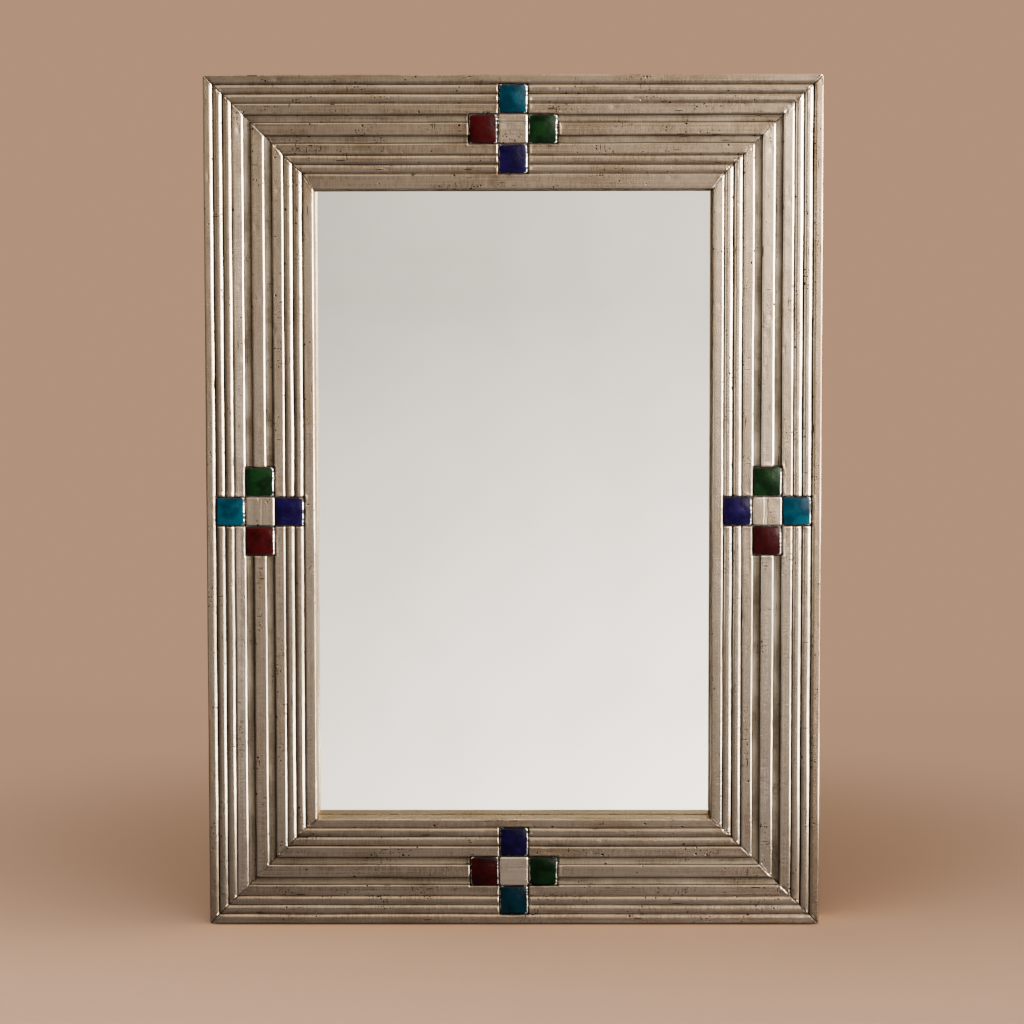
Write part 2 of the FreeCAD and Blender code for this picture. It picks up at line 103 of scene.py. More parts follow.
class Recipe:
    """A material or a world, written node by node."""

    def __init__(self, owner: bpy.types.ID) -> None:
        """Starts without nodes.

        Args:
            owner: the material or the world that the nodes belong to.
        """
        owner.use_nodes = True
        self.owner = owner
        self.tree = owner.node_tree
        self.tree.nodes.clear()

    @classmethod
    def named(cls, name: str) -> "Recipe":
        """Starts a new material."""
        return cls(bpy.data.materials.new(name))

    def node(self, kind: str, inputs: dict[Any, Any], **settings: Any) -> bpy.types.Node:
        """Adds one node.

        Args:
            kind: the node's type.
            inputs: values or sockets for the node's inputs, by name or number.
            settings: the node's own properties.

        Returns:
            The node.
        """
        made = self.tree.nodes.new(kind)
        for key, value in settings.items():
            setattr(made, key, value)
        for key, value in inputs.items():
            if isinstance(value, Socket):
                self.tree.links.new(value, made.inputs[key])
            else:
                made.inputs[key].default_value = value
        return made

    def trait(self, name: str, vector: bool = False) -> Socket:
        """Reads a value that the mesh carries.

        Args:
            name: the attribute's name.
            vector: True for a vector, False for a number.

        Returns:
            The value's socket.
        """
        read = self.node("ShaderNodeAttribute", {}, attribute_name=name)
        return read.outputs["Vector" if vector else "Fac"]

    def place(self) -> Socket:
        """Position in the shared frame, in metres."""
        return self.node("ShaderNodeTexCoord", {}).outputs["Object"]

    def stretch(self, vector: Socket, scale: Triple) -> Socket:
        """Scales a position unevenly.

        Args:
            vector: the position.
            scale: the factor along each axis, per metre.

        Returns:
            The scaled position.
        """
        return self.node("ShaderNodeMapping", {"Vector": vector, "Scale": scale}).outputs[0]

    def noise(self, vector: Socket, scale: Triple, detail: float = 3.0, rough: float = 0.55) -> Socket:
        """Soft noise over a stretched position.

        Args:
            vector: the position.
            scale: how many features to the metre along each axis.
            detail: how many finer layers are added.
            rough: the weight of the finer layers.

        Returns:
            The noise, about 0.5.
        """
        spread = self.stretch(vector, scale)
        inputs = {"Vector": spread, "Scale": 1.0, "Detail": detail, "Roughness": rough}
        return self.node("ShaderNodeTexNoise", inputs).outputs[0]

    def span(self, value: Socket, low: float, high: float, to_low: float = 0.0,
             to_high: float = 1.0) -> Socket:
        """Maps a range smoothly onto another one and holds it at the ends.

        Args:
            value: the number to map.
            low: where the range begins.
            high: where it ends.
            to_low: the result at low.
            to_high: the result at high.

        Returns:
            The mapped number.
        """
        inputs = {"Value": value, "From Min": low, "From Max": high, "To Min": to_low, "To Max": to_high}
        return self.node("ShaderNodeMapRange", inputs, interpolation_type="SMOOTHSTEP").outputs[0]

    def parts(self, vector: Socket) -> Sequence[Socket]:
        """The three numbers of a position."""
        return self.node("ShaderNodeSeparateXYZ", {0: vector}).outputs

    def sum(self, operation: str, first: Any, second: Any) -> Socket:
        """One step of arithmetic.

        Args:
            operation: the Math node's operation.
            first: a number or socket.
            second: a number or socket.

        Returns:
            The result.
        """
        return self.node("ShaderNodeMath", {0: first, 1: second}, operation=operation).outputs[0]

    def one(self, operation: str, value: Socket) -> Socket:
        """One step of arithmetic on a single number."""
        return self.node("ShaderNodeMath", {0: value}, operation=operation).outputs[0]

    def total(self, numbers: Sequence[Socket]) -> Socket:
        """Adds several numbers.

        Args:
            numbers: the numbers.

        Returns:
            Their sum.
        """
        added = numbers[0]
        for number in numbers[1:]:
            added = self.sum("ADD", added, number)
        return added

    def blend(self, share: Any, first: Any, second: Any) -> Socket:
        """Mixes two colours.

        Args:
            share: how much of the second colour.
            first: a colour or socket.
            second: a colour or socket.

        Returns:
            The mixed colour.
        """
        inputs = {0: share, 6: self.full(first), 7: self.full(second)}
        return self.node("ShaderNodeMix", inputs, data_type="RGBA").outputs[2]

    @staticmethod
    def full(colour: Any) -> Any:
        """A colour with its alpha, or a socket as it is."""
        return colour if isinstance(colour, Socket) else (*colour, 1.0)

    def bump(self, height: Socket, distance: float, over: Socket | None = None) -> Socket:
        """Turns a height into a shading normal.

        Args:
            height: the height, from 0 to 1.
            distance: what a height of 1 stands for, in metres.
            over: the normal that it changes, if not the mesh's own.

        Returns:
            The normal.
        """
        inputs = {"Height": height, "Distance": distance, "Strength": 1.0}
        if over is not None:
            inputs["Normal"] = over
        return self.node("ShaderNodeBump", inputs).outputs[0]

    def layer(self, share: Any, first: bpy.types.Node, second: bpy.types.Node) -> bpy.types.Node:
        """Mixes two shaders.

        Args:
            share: how much of the second shader.
            first: a shader node.
            second: a shader node.

        Returns:
            The mixing node.
        """
        return self.node("ShaderNodeMixShader", {0: share, 1: first.outputs[0], 2: second.outputs[0]})

    def specks(self, vector: Socket, scale: Triple, mask: Socket, bar: float, reach: float) -> Socket:
        """Scattered round marks of uneven size.

        Args:
            vector: the position.
            scale: how many marks could stand to the metre along each axis.
            mask: how much a place invites marks.
            bar: how high the mask and chance together have to be.
            reach: the largest radius, as a share of the spacing.

        Returns:
            1 in the marks and 0 elsewhere.
        """
        spread = {"Vector": self.stretch(vector, scale), "Scale": 1.0, "Randomness": 1.0}
        cells = self.node("ShaderNodeTexVoronoi", spread, voronoi_dimensions="2D")
        chance = self.node("ShaderNodeSeparateColor", {0: cells.outputs["Color"]}).outputs
        drawn = self.span(self.sum("ADD", chance[0], mask), bar, bar + 0.05)
        size = self.sum("MULTIPLY", drawn, self.span(chance[1], 0.0, 1.0, reach * 0.4, reach))
        return self.span(self.sum("SUBTRACT", size, cells.outputs["Distance"]), 0.0, reach * 0.18)

    def coated(self, inputs: dict[str, Any]) -> bpy.types.Material:
        """Ends the material in a surface shader.

        Args:
            inputs: the shader's inputs by name.

        Returns:
            The finished material.
        """
        return self.ended(self.node("ShaderNodeBsdfPrincipled", inputs))

    def ended(self, shader: bpy.types.Node) -> bpy.types.Material:
        """Ends the material in any shader.

        Args:
            shader: the last shader node.

        Returns:
            The finished material.
        """
        self.node("ShaderNodeOutputMaterial", {"Surface": shader.outputs[0]})
        return self.owner


@dataclass(frozen=True)
class AgedTin:
    """Rubbed tin sheet with a brown patina, drawn lines, pits, and grime with painted shade in the grooves.

    A scale counts features to the metre along the grain and across it.
    """

    bright: Triple = (0.262, 0.210, 0.146)
    patina: Triple = (0.128, 0.090, 0.055)
    polished: Triple = (0.40, 0.325, 0.232)
    # near black, for grime and marks and for painted shade in grooves, coves, on the reveal and along the
    # bottom edge
    dirt_and_shade: Triple = (0.0005, 0.00035, 0.00025)
    edge_tint: Triple = (0.80, 0.68, 0.52)
    roughness: float = 0.225
    spread: float = 0.50
    line_depth: float = 0.01 * MM
    pit_depth: float = 0.04 * MM
    grit_depth: float = 0.16 * MM
    drawn_scale: Triple = (9.0, 1100.0, 1.0)
    broad_scale: Triple = (4.0, 300.0, 1.0)
    weave_scale: Triple = (700.0, 90.0, 1.0)
    cloud_scale: Triple = (14.0, 30.0, 1.0)
    fleck_scale: Triple = (420.0, 520.0, 1.0)
    patch_scale: Triple = (24.0, 40.0, 1.0)
    pit_scale: Triple = (70.0, 80.0, 1.0)
    dot_scale: Triple = (300.0, 330.0, 1.0)
    scratch_scale: Triple = (22.0, 260.0, 1.0)
    tick_scale: Triple = (420.0, 42.0, 1.0)

    def marks(self, mix: Recipe, grain: Socket, cloud: Socket, patch: Socket) -> tuple[Socket, Socket]:
        """Pits, dots, scratches and ticks in the sheet.

        Args:
            mix: the recipe to write in.
            grain: the position along and across the grain.
            cloud: the broad unevenness that invites scratches.
            patch: the patches that invite the other marks.

        Returns:
            The pits alone, and all the marks together.
        """
        pits = mix.specks(grain, self.pit_scale, mix.span(patch, 0.40, 0.68, -0.36, 0.26), 0.58, 0.105)
        dots = mix.specks(grain, self.dot_scale, mix.span(patch, 0.50, 0.64, -0.5, 0.30), 0.74, 0.30)
        scratch = mix.specks(grain, self.scratch_scale, mix.span(cloud, 0.40, 0.62, -0.34, 0.14), 0.80, 0.15)
        tick = mix.specks(grain, self.tick_scale, mix.span(patch, 0.44, 0.66, -0.40, 0.16), 0.80, 0.18)
        round_marks, long_marks = mix.sum("MAXIMUM", pits, dots), mix.sum("MAXIMUM", scratch, tick)
        return pits, mix.sum("MAXIMUM", round_marks, long_marks)

    def material(self) -> bpy.types.Material:
        """Writes the finish.

        Returns:
            The material.
        """
        mix = Recipe.named("aged_tin")
        grain = mix.trait("grain", vector=True)
        soil_and_shade, seam, stain = (mix.trait(name) for name in ("soil_and_shade", "seam", "stain"))
        drawn = mix.noise(grain, self.drawn_scale, 2.0)
        broad = mix.noise(grain, self.broad_scale, 3.0)
        weave = mix.noise(grain, self.weave_scale, 2.0)
        cloud = mix.noise(grain, self.cloud_scale, 5.0, 0.62)
        fleck = mix.noise(grain, self.fleck_scale, 3.0, 0.6)
        patch = mix.noise(grain, self.patch_scale, 3.0)
        pits, marks = self.marks(mix, grain, cloud, patch)
        scuff = mix.sum("MULTIPLY", mix.span(patch, 0.55, 0.70), mix.span(fleck, 0.50, 0.66))
        grit = mix.sum("MULTIPLY", seam, mix.span(fleck, 0.42, 0.60))
        # soil_and_shade carries grime and painted shade alike
        groove = mix.sum("MULTIPLY", soil_and_shade, mix.span(cloud, 0.25, 0.60, 0.92, 1.0))
        tone = mix.total((
            mix.span(cloud, 0.34, 0.70, 0.0, 0.55), mix.span(broad, 0.35, 0.66, -0.12, 0.22),
            mix.sum("MULTIPLY", stain, 0.5), mix.span(weave, 0.35, 0.65, -0.17, 0.21),
            mix.span(drawn, 0.3, 0.7, -0.20, 0.24)))
        base = mix.blend(mix.span(tone, 0.0, 1.0), self.bright, self.patina)
        base = mix.blend(mix.span(tone, -0.9, -0.1, 1.0, 0.0), base, self.polished)
        # each share blends toward the near-black colour: marks, scuffs and grit are grime; the groove share
        # is grime with painted shade
        for soil in (mix.sum("MULTIPLY", scuff, 0.45), mix.sum("MULTIPLY", grit, 0.65), groove, marks):
            base = mix.blend(soil, base, self.dirt_and_shade)
        dull = mix.sum("MAXIMUM", mix.sum("MAXIMUM", marks, groove), mix.sum("MULTIPLY", scuff, 0.30))
        rough = mix.sum("ADD", mix.span(tone, 0.0, 1.0, self.roughness - 0.02, self.roughness + 0.05),
                        mix.span(dull, 0.0, 1.0, 0.0, 0.42))
        lines = mix.sum("ADD", mix.sum("MULTIPLY", drawn, 0.8), mix.sum("MULTIPLY", weave, 0.5))
        normal = mix.bump(lines, self.line_depth)
        normal = mix.bump(mix.sum("SUBTRACT", 1.0, pits), self.pit_depth, normal)
        normal = mix.bump(mix.sum("MULTIPLY", seam, fleck), self.grit_depth, normal)
        return mix.coated({"Base Color": base, "Metallic": 1.0, "Roughness": rough,
                           "Anisotropic": self.spread, "Tangent": mix.trait("across", vector=True),
                           "Normal": normal, "Specular Tint": (*self.edge_tint, 1.0)})


@dataclass(frozen=True)
class FiredGlaze:
    """Deep glossy glaze on metal, clouded where it pooled and worn to the bright metal at its rim."""

    enamel: Enamel
    deep: Triple
    clear: Triple
    veil: Triple
    rim_metal: Triple = (0.62, 0.57, 0.50)

    def material(self) -> bpy.types.Material:
        """Writes the finish.

        Returns:
            The material.
        """
        mix = Recipe.named(f"{self.enamel.value}_glaze")
        at = mix.place()
        rim = mix.trait("rim")
        pool = mix.noise(at, (62.0, 62.0, 62.0), 3.0, 0.5)
        drift = mix.noise(at, (120.0, 40.0, 210.0), 4.0, 0.6)
        speck = mix.noise(at, (900.0, 900.0, 900.0), 2.0)
        chips = mix.noise(at, (460.0, 460.0, 460.0), 2.0)
        base = mix.blend(mix.span(pool, 0.36, 0.62), self.deep, self.clear)
        base = mix.blend(mix.span(drift, 0.56, 0.74, 0.0, 0.5), base, self.veil)
        base = mix.blend(mix.span(speck, 0.62, 0.75, 0.0, 0.25), base, self.deep)
        # grime with painted shade: the glaze darkens toward near black at its rim, by the gap round the tile
        base = mix.blend(mix.span(rim, 0.50, 0.80, 0.0, 0.75), base, (0.004, 0.003, 0.003))
        bare = mix.sum("MULTIPLY", mix.span(mix.trait("worn"), 0.58, 0.72), mix.span(chips, 0.48, 0.55))
        base = mix.blend(mix.trait("shade"), base, (0.0001, 0.0001, 0.0001))
        base = mix.blend(bare, base, self.rim_metal)
        rough = mix.sum("ADD", mix.span(speck, 0.45, 0.75, 0.19, 0.27), mix.sum("MULTIPLY", bare, 0.05))
        swell = mix.noise(at, (170.0, 170.0, 170.0), 2.0)
        return mix.coated({"Base Color": base, "Metallic": bare, "Roughness": rough, "IOR": 1.52,
                           "Specular IOR Level": 0.05, "Normal": mix.bump(swell, 0.00025)})


@dataclass(frozen=True)
class SawnWood:
    """Planed softwood with its grain along one axis, with painted shadow in the tile pockets."""

    name: str
    along: Triple
    pale: Triple = (0.36, 0.22, 0.115)
    late: Triple = (0.18, 0.095, 0.045)
    shadow: Triple = (0.016, 0.008, 0.006)
    pocket: Pair = (CREST_Y + 8 * MM, CREST_Y + 12 * MM)

    def material(self) -> bpy.types.Material:
        """Writes the finish.

        Returns:
            The material.
        """
        mix = Recipe.named(self.name)
        at = mix.place()
        ring = mix.noise(at, tuple(3.0 if axis else 130.0 for axis in self.along), 3.0, 0.55)
        bands = mix.one("SINE", mix.sum("MULTIPLY", ring, 26.0))
        fibre = mix.noise(at, tuple(14.0 if axis else 1500.0 for axis in self.along), 2.0)
        soil = mix.noise(at, (9.0, 9.0, 9.0), 4.0)
        base = mix.blend(mix.span(bands, -0.2, 1.0, 0.0, 0.7), self.pale, self.late)
        base = mix.blend(mix.span(fibre, 0.4, 0.7, 0.0, 0.45), base, self.late)
        base = mix.blend(mix.span(soil, 0.45, 0.75, 0.0, 0.5), base, (0.09, 0.06, 0.04))
        # painted shadow: the wood's front, seen in the tile pockets, goes near black
        base = mix.blend(mix.span(mix.parts(at)[1], *self.pocket, 1.0, 0.0), base, self.shadow)
        height = mix.sum("ADD", mix.sum("MULTIPLY", fibre, 0.7), mix.sum("MULTIPLY", bands, 0.08))
        return mix.coated({"Base Color": base, "Roughness": mix.span(fibre, 0.3, 0.7, 0.55, 0.75),
                           "Normal": mix.bump(height, 0.00018)})


@dataclass(frozen=True)
class PressedBoard:
    """Pressed fibre board: a brown or grey ground with short felted fibres."""

    name: str
    ground: Triple
    fibre: Triple
    coarse: float = 700.0
    roughness: float = 0.62

    def material(self) -> bpy.types.Material:
        """Writes the finish.

        Returns:
            The material.
        """
        mix = Recipe.named(self.name)
        at = mix.place()
        felt = mix.noise(at, (self.coarse,) * 3, 4.0, 0.65)
        streak = mix.noise(at, (self.coarse * 0.25, self.coarse, self.coarse * 1.6), 2.0)
        cloud = mix.noise(at, (7.0, 7.0, 7.0), 4.0)
        soiled, dark = (tuple(share * part for part in self.ground) for share in (0.6, 0.45))
        base = mix.blend(mix.span(felt, 0.40, 0.70, 0.0, 0.7), self.ground, self.fibre)
        base = mix.blend(mix.span(cloud, 0.40, 0.72, 0.0, 0.35), base, soiled)
        base = mix.blend(mix.span(streak, 0.60, 0.75, 0.0, 0.4), base, dark)
        rough = mix.span(felt, 0.3, 0.7, self.roughness - 0.08, self.roughness + 0.1)
        return mix.coated({"Base Color": base, "Roughness": rough, "Normal": mix.bump(felt, 0.00022)})


@dataclass(frozen=True)
class PlainSteel:
    """Plated steel with rubbed lines and spots of dullness."""

    name: str
    bright: Triple
    dull: Triple
    roughness: float = 0.32

    def material(self) -> bpy.types.Material:
        """Writes the finish.

        Returns:
            The material.
        """
        mix = Recipe.named(self.name)
        at = mix.place()
        bloom = mix.noise(at, (130.0, 130.0, 130.0), 5.0, 0.65)
        line = mix.noise(at, (2600.0, 2600.0, 340.0), 2.0)
        base = mix.blend(mix.span(bloom, 0.38, 0.68), self.bright, self.dull)
        base = mix.blend(mix.span(line, 0.55, 0.75, 0.0, 0.3), base, self.dull)
        rough = mix.sum("ADD", mix.span(bloom, 0.35, 0.7, self.roughness - 0.06, self.roughness + 0.18),
                        mix.span(line, 0.4, 0.7, 0.0, 0.06))
        return mix.coated({"Base Color": base, "Metallic": 1.0, "Roughness": rough,
                           "Normal": mix.bump(line, 0.00003)})


@dataclass(frozen=True)
class FootRubber:
    """Moulded dark rubber with a dusty bloom."""

    ground: Triple = (0.018, 0.017, 0.016)
    dust: Triple = (0.075, 0.068, 0.060)

    def material(self) -> bpy.types.Material:
        """Writes the finish.

        Returns:
            The material.
        """
        mix = Recipe.named("bumper_rubber")
        at = mix.place()
        bloom = mix.noise(at, (240.0, 240.0, 240.0), 4.0, 0.6)
        pore = mix.noise(at, (2200.0, 2200.0, 2200.0), 2.0)
        base = mix.blend(mix.span(bloom, 0.42, 0.72, 0.0, 0.8), self.ground, self.dust)
        return mix.coated({"Base Color": base, "Roughness": mix.span(bloom, 0.3, 0.7, 0.5, 0.75),
                           "Normal": mix.bump(pore, 0.00008)})


@dataclass(frozen=True)
class ClearGlass:
    """Float glass with the faintest film on it."""

    tint: Triple = (0.955, 0.975, 0.965)
    film: Triple = (0.93, 0.955, 0.945)

    def material(self) -> bpy.types.Material:
        """Writes the finish.

        Returns:
            The material.
        """
        mix = Recipe.named("clear_glass")
        haze = mix.noise(mix.place(), (11.0, 11.0, 11.0), 3.0)
        base = mix.blend(mix.span(haze, 0.4, 0.7), self.tint, self.film)
        return mix.coated({"Base Color": base, "Roughness": mix.span(haze, 0.45, 0.75, 0.0, 0.012),
                           "IOR": 1.5, "Transmission Weight": 1.0})


@dataclass(frozen=True)
class SilverCoat:
    """The silvering behind the glass, a little darker in soft clouds."""

    silver: Triple = (0.955, 0.955, 0.950)
    aged: Triple = (0.90, 0.895, 0.88)

    def material(self) -> bpy.types.Material:
        """Writes the finish.

        Returns:
            The material.
        """
        mix = Recipe.named("mirror_silver")
        cloud = mix.noise(mix.place(), (5.0, 5.0, 5.0), 4.0)
        base = mix.blend(mix.span(cloud, 0.40, 0.75), self.silver, self.aged)
        return mix.coated({"Base Color": base, "Metallic": 1.0,
                           "Roughness": mix.span(cloud, 0.4, 0.8, 0.0, 0.012)})


@dataclass(frozen=True)
class FrontGlow:
    """Pale light in front of the mirror, weak on the left and strong on the right."""

    weak: float
    strong: float
    from_side: float
    to_side: float
    near_gain: float
    flare: float = 0.0
    flare_from: float = 0.10
    flare_to: float = 0.44
    floor_spread: float = 1.0
    tint: Triple = (1.0, 0.865, 0.75)
    floor_tint: Triple = (1.0, 0.865, 0.75)

    def strength(self, mix: Recipe, side: Socket) -> Socket:
        """How bright the front is in a direction.

        Args:
            mix: the recipe to write in.
            side: how far the direction points to the right.

        Returns:
            The strength.
        """
        even = mix.span(side, self.from_side, self.to_side, self.weak, self.strong)
        glossy = mix.node("ShaderNodeLightPath", {}).outputs["Is Glossy Ray"]
        flare = mix.span(side, self.flare_from, self.flare_to, 0.0, self.flare)
        return mix.sum("ADD", even, mix.sum("MULTIPLY", flare, glossy))

    def floor_strength(self, mix: Recipe, axes: Sequence[Socket]) -> Socket:
        """How bright the floor in front is, level with the air at the horizon.

        Args:
            mix: the recipe to write in.
            axes: the place on the floor.

        Returns:
            The strength.
        """
        ahead = mix.sum("SUBTRACT", EYE_DISTANCE, axes[1])
        side = mix.sum("DIVIDE", mix.sum("MULTIPLY", axes[0], self.floor_spread), ahead)
        near = mix.sum("DIVIDE", EYE_DISTANCE * (self.near_gain - 1.0), ahead)
        return mix.sum("MULTIPLY", self.strength(mix, side), mix.sum("ADD", 1.0, near))


MIRROR_GLOW = FrontGlow(0.05, 2.5, -0.40, 0.30, 2.8)
METAL_GLOW = FrontGlow(0.08, 2.6, -0.30, 0.35, 0.45, 45.0, floor_spread=0.28,
                       floor_tint=(1.0, 0.905, 0.97))


@dataclass(frozen=True)
class StudioFloor:
    """A plain floor with painted shade behind the mirror, a painted contact shadow at its foot and a painted
    glow ahead of it that only reflections and rays through the glass see; it fades into the backdrop.
    """

    ground: Triple = (0.45, 0.284, 0.180)
    dull: Triple = (0.2, 0.15, 0.12)
    # near and clear: where the floor ahead glows for reflected rays and for rays through the glass, painted
    # light
    near: Pair = (0.02, 0.08)
    # painted shade round a point behind the mirror, then a painted contact shadow along its foot
    shade_behind: float = 0.45
    shade: Triple = (0.35, 1.05, 0.55)
    shade_tint: Triple = (0.10, 0.055, 0.03)
    contact_shadow_width: Pair = (0.318, 0.332)
    contact_shadow_depth: Pair = (0.022, 0.034)
    contact_shadow_share: float = 0.94
    contact_shadow_tint: Triple = (0.004, 0.001, 0.0005)
    clear: Pair = (-0.62, -0.46)
    fade_from: float = 0.35
    fade_to: float = 2.0

    def material(self, backdrop: Triple) -> bpy.types.Material:
        """Writes the finish.

        Args:
            backdrop: the colour that the far floor fades into.

        Returns:
            The material.
        """
        mix = Recipe.named("studio_floor")
        at = mix.place()
        axes = mix.parts(at)
        cloud = mix.noise(at, (1.2, 1.2, 1.2), 3.0)
        base = mix.blend(mix.span(cloud, 0.3, 0.7, 0.0, 0.06), self.ground, self.dull)
        # painted shade: a dark tint pooled on the floor round a point behind the mirror
        behind = (0.0, self.shade_behind, 0.0)
        away = mix.node("ShaderNodeVectorMath", {0: at, 1: behind}, operation="DISTANCE").outputs["Value"]
        start, stop, deep = self.shade
        base = mix.blend(mix.span(away, start, stop, deep, 0.0), base, self.shade_tint)
        # painted contact shadow: a near-black band along the mirror's foot
        width, depth = (mix.one("ABSOLUTE", axis) for axis in axes[:2])
        foot = mix.sum("MULTIPLY", mix.span(width, *self.contact_shadow_width, 1.0, 0.0),
                       mix.span(depth, *self.contact_shadow_depth, 1.0, 0.0))
        base = mix.blend(mix.sum("MULTIPLY", foot, self.contact_shadow_share), base, self.contact_shadow_tint)
        shown = mix.node("ShaderNodeBsdfPrincipled", {
            "Base Color": base, "Roughness": 0.9, "Specular IOR Level": 0.1})
        path = mix.node("ShaderNodeLightPath", {}).outputs
        far = mix.sum("MULTIPLY", mix.span(axes[1], self.fade_from, self.fade_to), path["Is Camera Ray"])
        wall = mix.node("ShaderNodeEmission", {"Color": (*backdrop, 1.0), "Strength": 1.0})
        shown = mix.layer(far, shown, wall)
        # painted light: the floor ahead glows for rays off the tin and rays through the glass
        for glow, ray, (start, stop) in ((METAL_GLOW, "Is Glossy Ray", self.near),
                                         (MIRROR_GLOW, "Is Transmission Ray", self.clear)):
            pale = mix.node("ShaderNodeEmission", {
                "Color": (*glow.floor_tint, 1.0), "Strength": glow.floor_strength(mix, axes)})
            ahead = mix.sum("MULTIPLY", mix.span(axes[1], start, stop, 1.0, 0.0), path[ray])
            shown = mix.layer(ahead, shown, pale)
        return mix.ended(shown)


@dataclass(frozen=True)
class Ripple:
    """Smooth seeded unevenness over two coordinates, between -1 and 1."""

    seed: int
    long_pitch: float
    cross_pitch: float
    cells: int = 96

    def at(self, s: np.ndarray, t: np.ndarray) -> np.ndarray:
        """Reads the unevenness.

        Args:
            s: positions along, in metres.
            t: positions across, in metres.

        Returns:
            One value for each pair.
        """
        lattice = np.random.default_rng(self.seed).uniform(-1.0, 1.0, (self.cells, self.cells))
        x, y = s / self.long_pitch, t / self.cross_pitch
        i, j = np.floor(x).astype(int), np.floor(y).astype(int)
        a, b = (f * f * (3.0 - 2.0 * f) for f in (x - i, y - j))
        i, j, n = i % self.cells, j % self.cells, self.cells
        near = lattice[i, j] * (1 - b) + lattice[i, (j + 1) % n] * b
        far = lattice[(i + 1) % n, j] * (1 - b) + lattice[(i + 1) % n, (j + 1) % n] * b
        return near * (1 - a) + far * a


def grain_of(s: np.ndarray, t: np.ndarray, seed: int, shift: Triple) -> np.ndarray:
    """Where points lie in the grain of the tin, moved so that no two sheets are alike.

    Args:
        s: positions along.
        t: positions across.
        seed: the sheet's number.
        shift: how far one number moves the grain along, across and in depth.

    Returns:
        One row for each point.
    """
    along, across, deep = (seed * share for share in shift)
    return np.stack([s + along, t + across, np.full(s.shape, deep)], -1).reshape(-1, 3)


class Bench:
    """Where meshes become pieces of the mirror."""

    @staticmethod
    def piece(name: str, points: np.ndarray, faces: Sequence[Sequence[int]],
              finish: bpy.types.Material) -> bpy.types.Object:
        """Makes a piece from points and faces.

        Args:
            name: the piece's name.
            points: one row for each point, in metres.
            faces: the numbers of each face's points.
            finish: the piece's material.

        Returns:
            The piece, in the scene.
        """
        mesh = bpy.data.meshes.new(name)
        mesh.from_pydata(points.tolist(), [], faces)
        mesh.polygons.foreach_set("use_smooth", np.ones(len(mesh.polygons), bool))
        mesh.materials.append(finish)
        made = bpy.data.objects.new(name, mesh)
        bpy.context.scene.collection.objects.link(made)
        return made

    @staticmethod
    def quads(rows: int, count: int) -> np.ndarray:
        """The faces between neighbouring points of a grid.

        Args:
            rows: how many rows of points there are.
            count: how many points stand in a row.

        Returns:
            The numbers of four points for each place in the grid.
        """
        index = np.arange(rows * count).reshape(rows, count)
        return np.stack([index[:-1, :-1], index[1:, :-1], index[1:, 1:], index[:-1, 1:]], -1)

    @staticmethod
    def carry(piece: bpy.types.Object, name: str, values: np.ndarray, foot: np.ndarray,
              shift: Any = 0.0) -> None:
        """Stores a value or vector on each point for the finish to read.

        Args:
            piece: the piece.
            name: the attribute's name.
            values: one number or vector for each point of the face.
            foot: the numbers of those points that have another one below them.
            shift: what is added to the values below.
        """
        every = np.concatenate([values, values[foot] + np.array(shift)])
        vector = every.ndim > 1
        made = piece.data.attributes.new(name, "FLOAT_VECTOR" if vector else "FLOAT", "POINT")
        made.data.foreach_set("vector" if vector else "value", every.astype(np.float32).ravel())

    @staticmethod
    def seat(piece: bpy.types.Object, node: str, slot: str) -> None:
        """Puts a piece in a node's place on the fixed frame.

        Args:
            piece: the piece.
            node: the node that it stands for.
            slot: not used.
        """
        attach(piece, FIXED_BODY)
        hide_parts(node)
        log.info("%s stands for %s with %d faces", piece.name, node, len(piece.data.polygons))

    @staticmethod
    def dress(node: str, finish: bpy.types.Material) -> None:
        """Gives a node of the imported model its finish.

        Args:
            node: the node's name.
            finish: the material.
        """
        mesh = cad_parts[node].data
        mesh.materials.clear()
        mesh.materials.append(finish)
        log.info("%s is dressed in %s", node, finish.name)


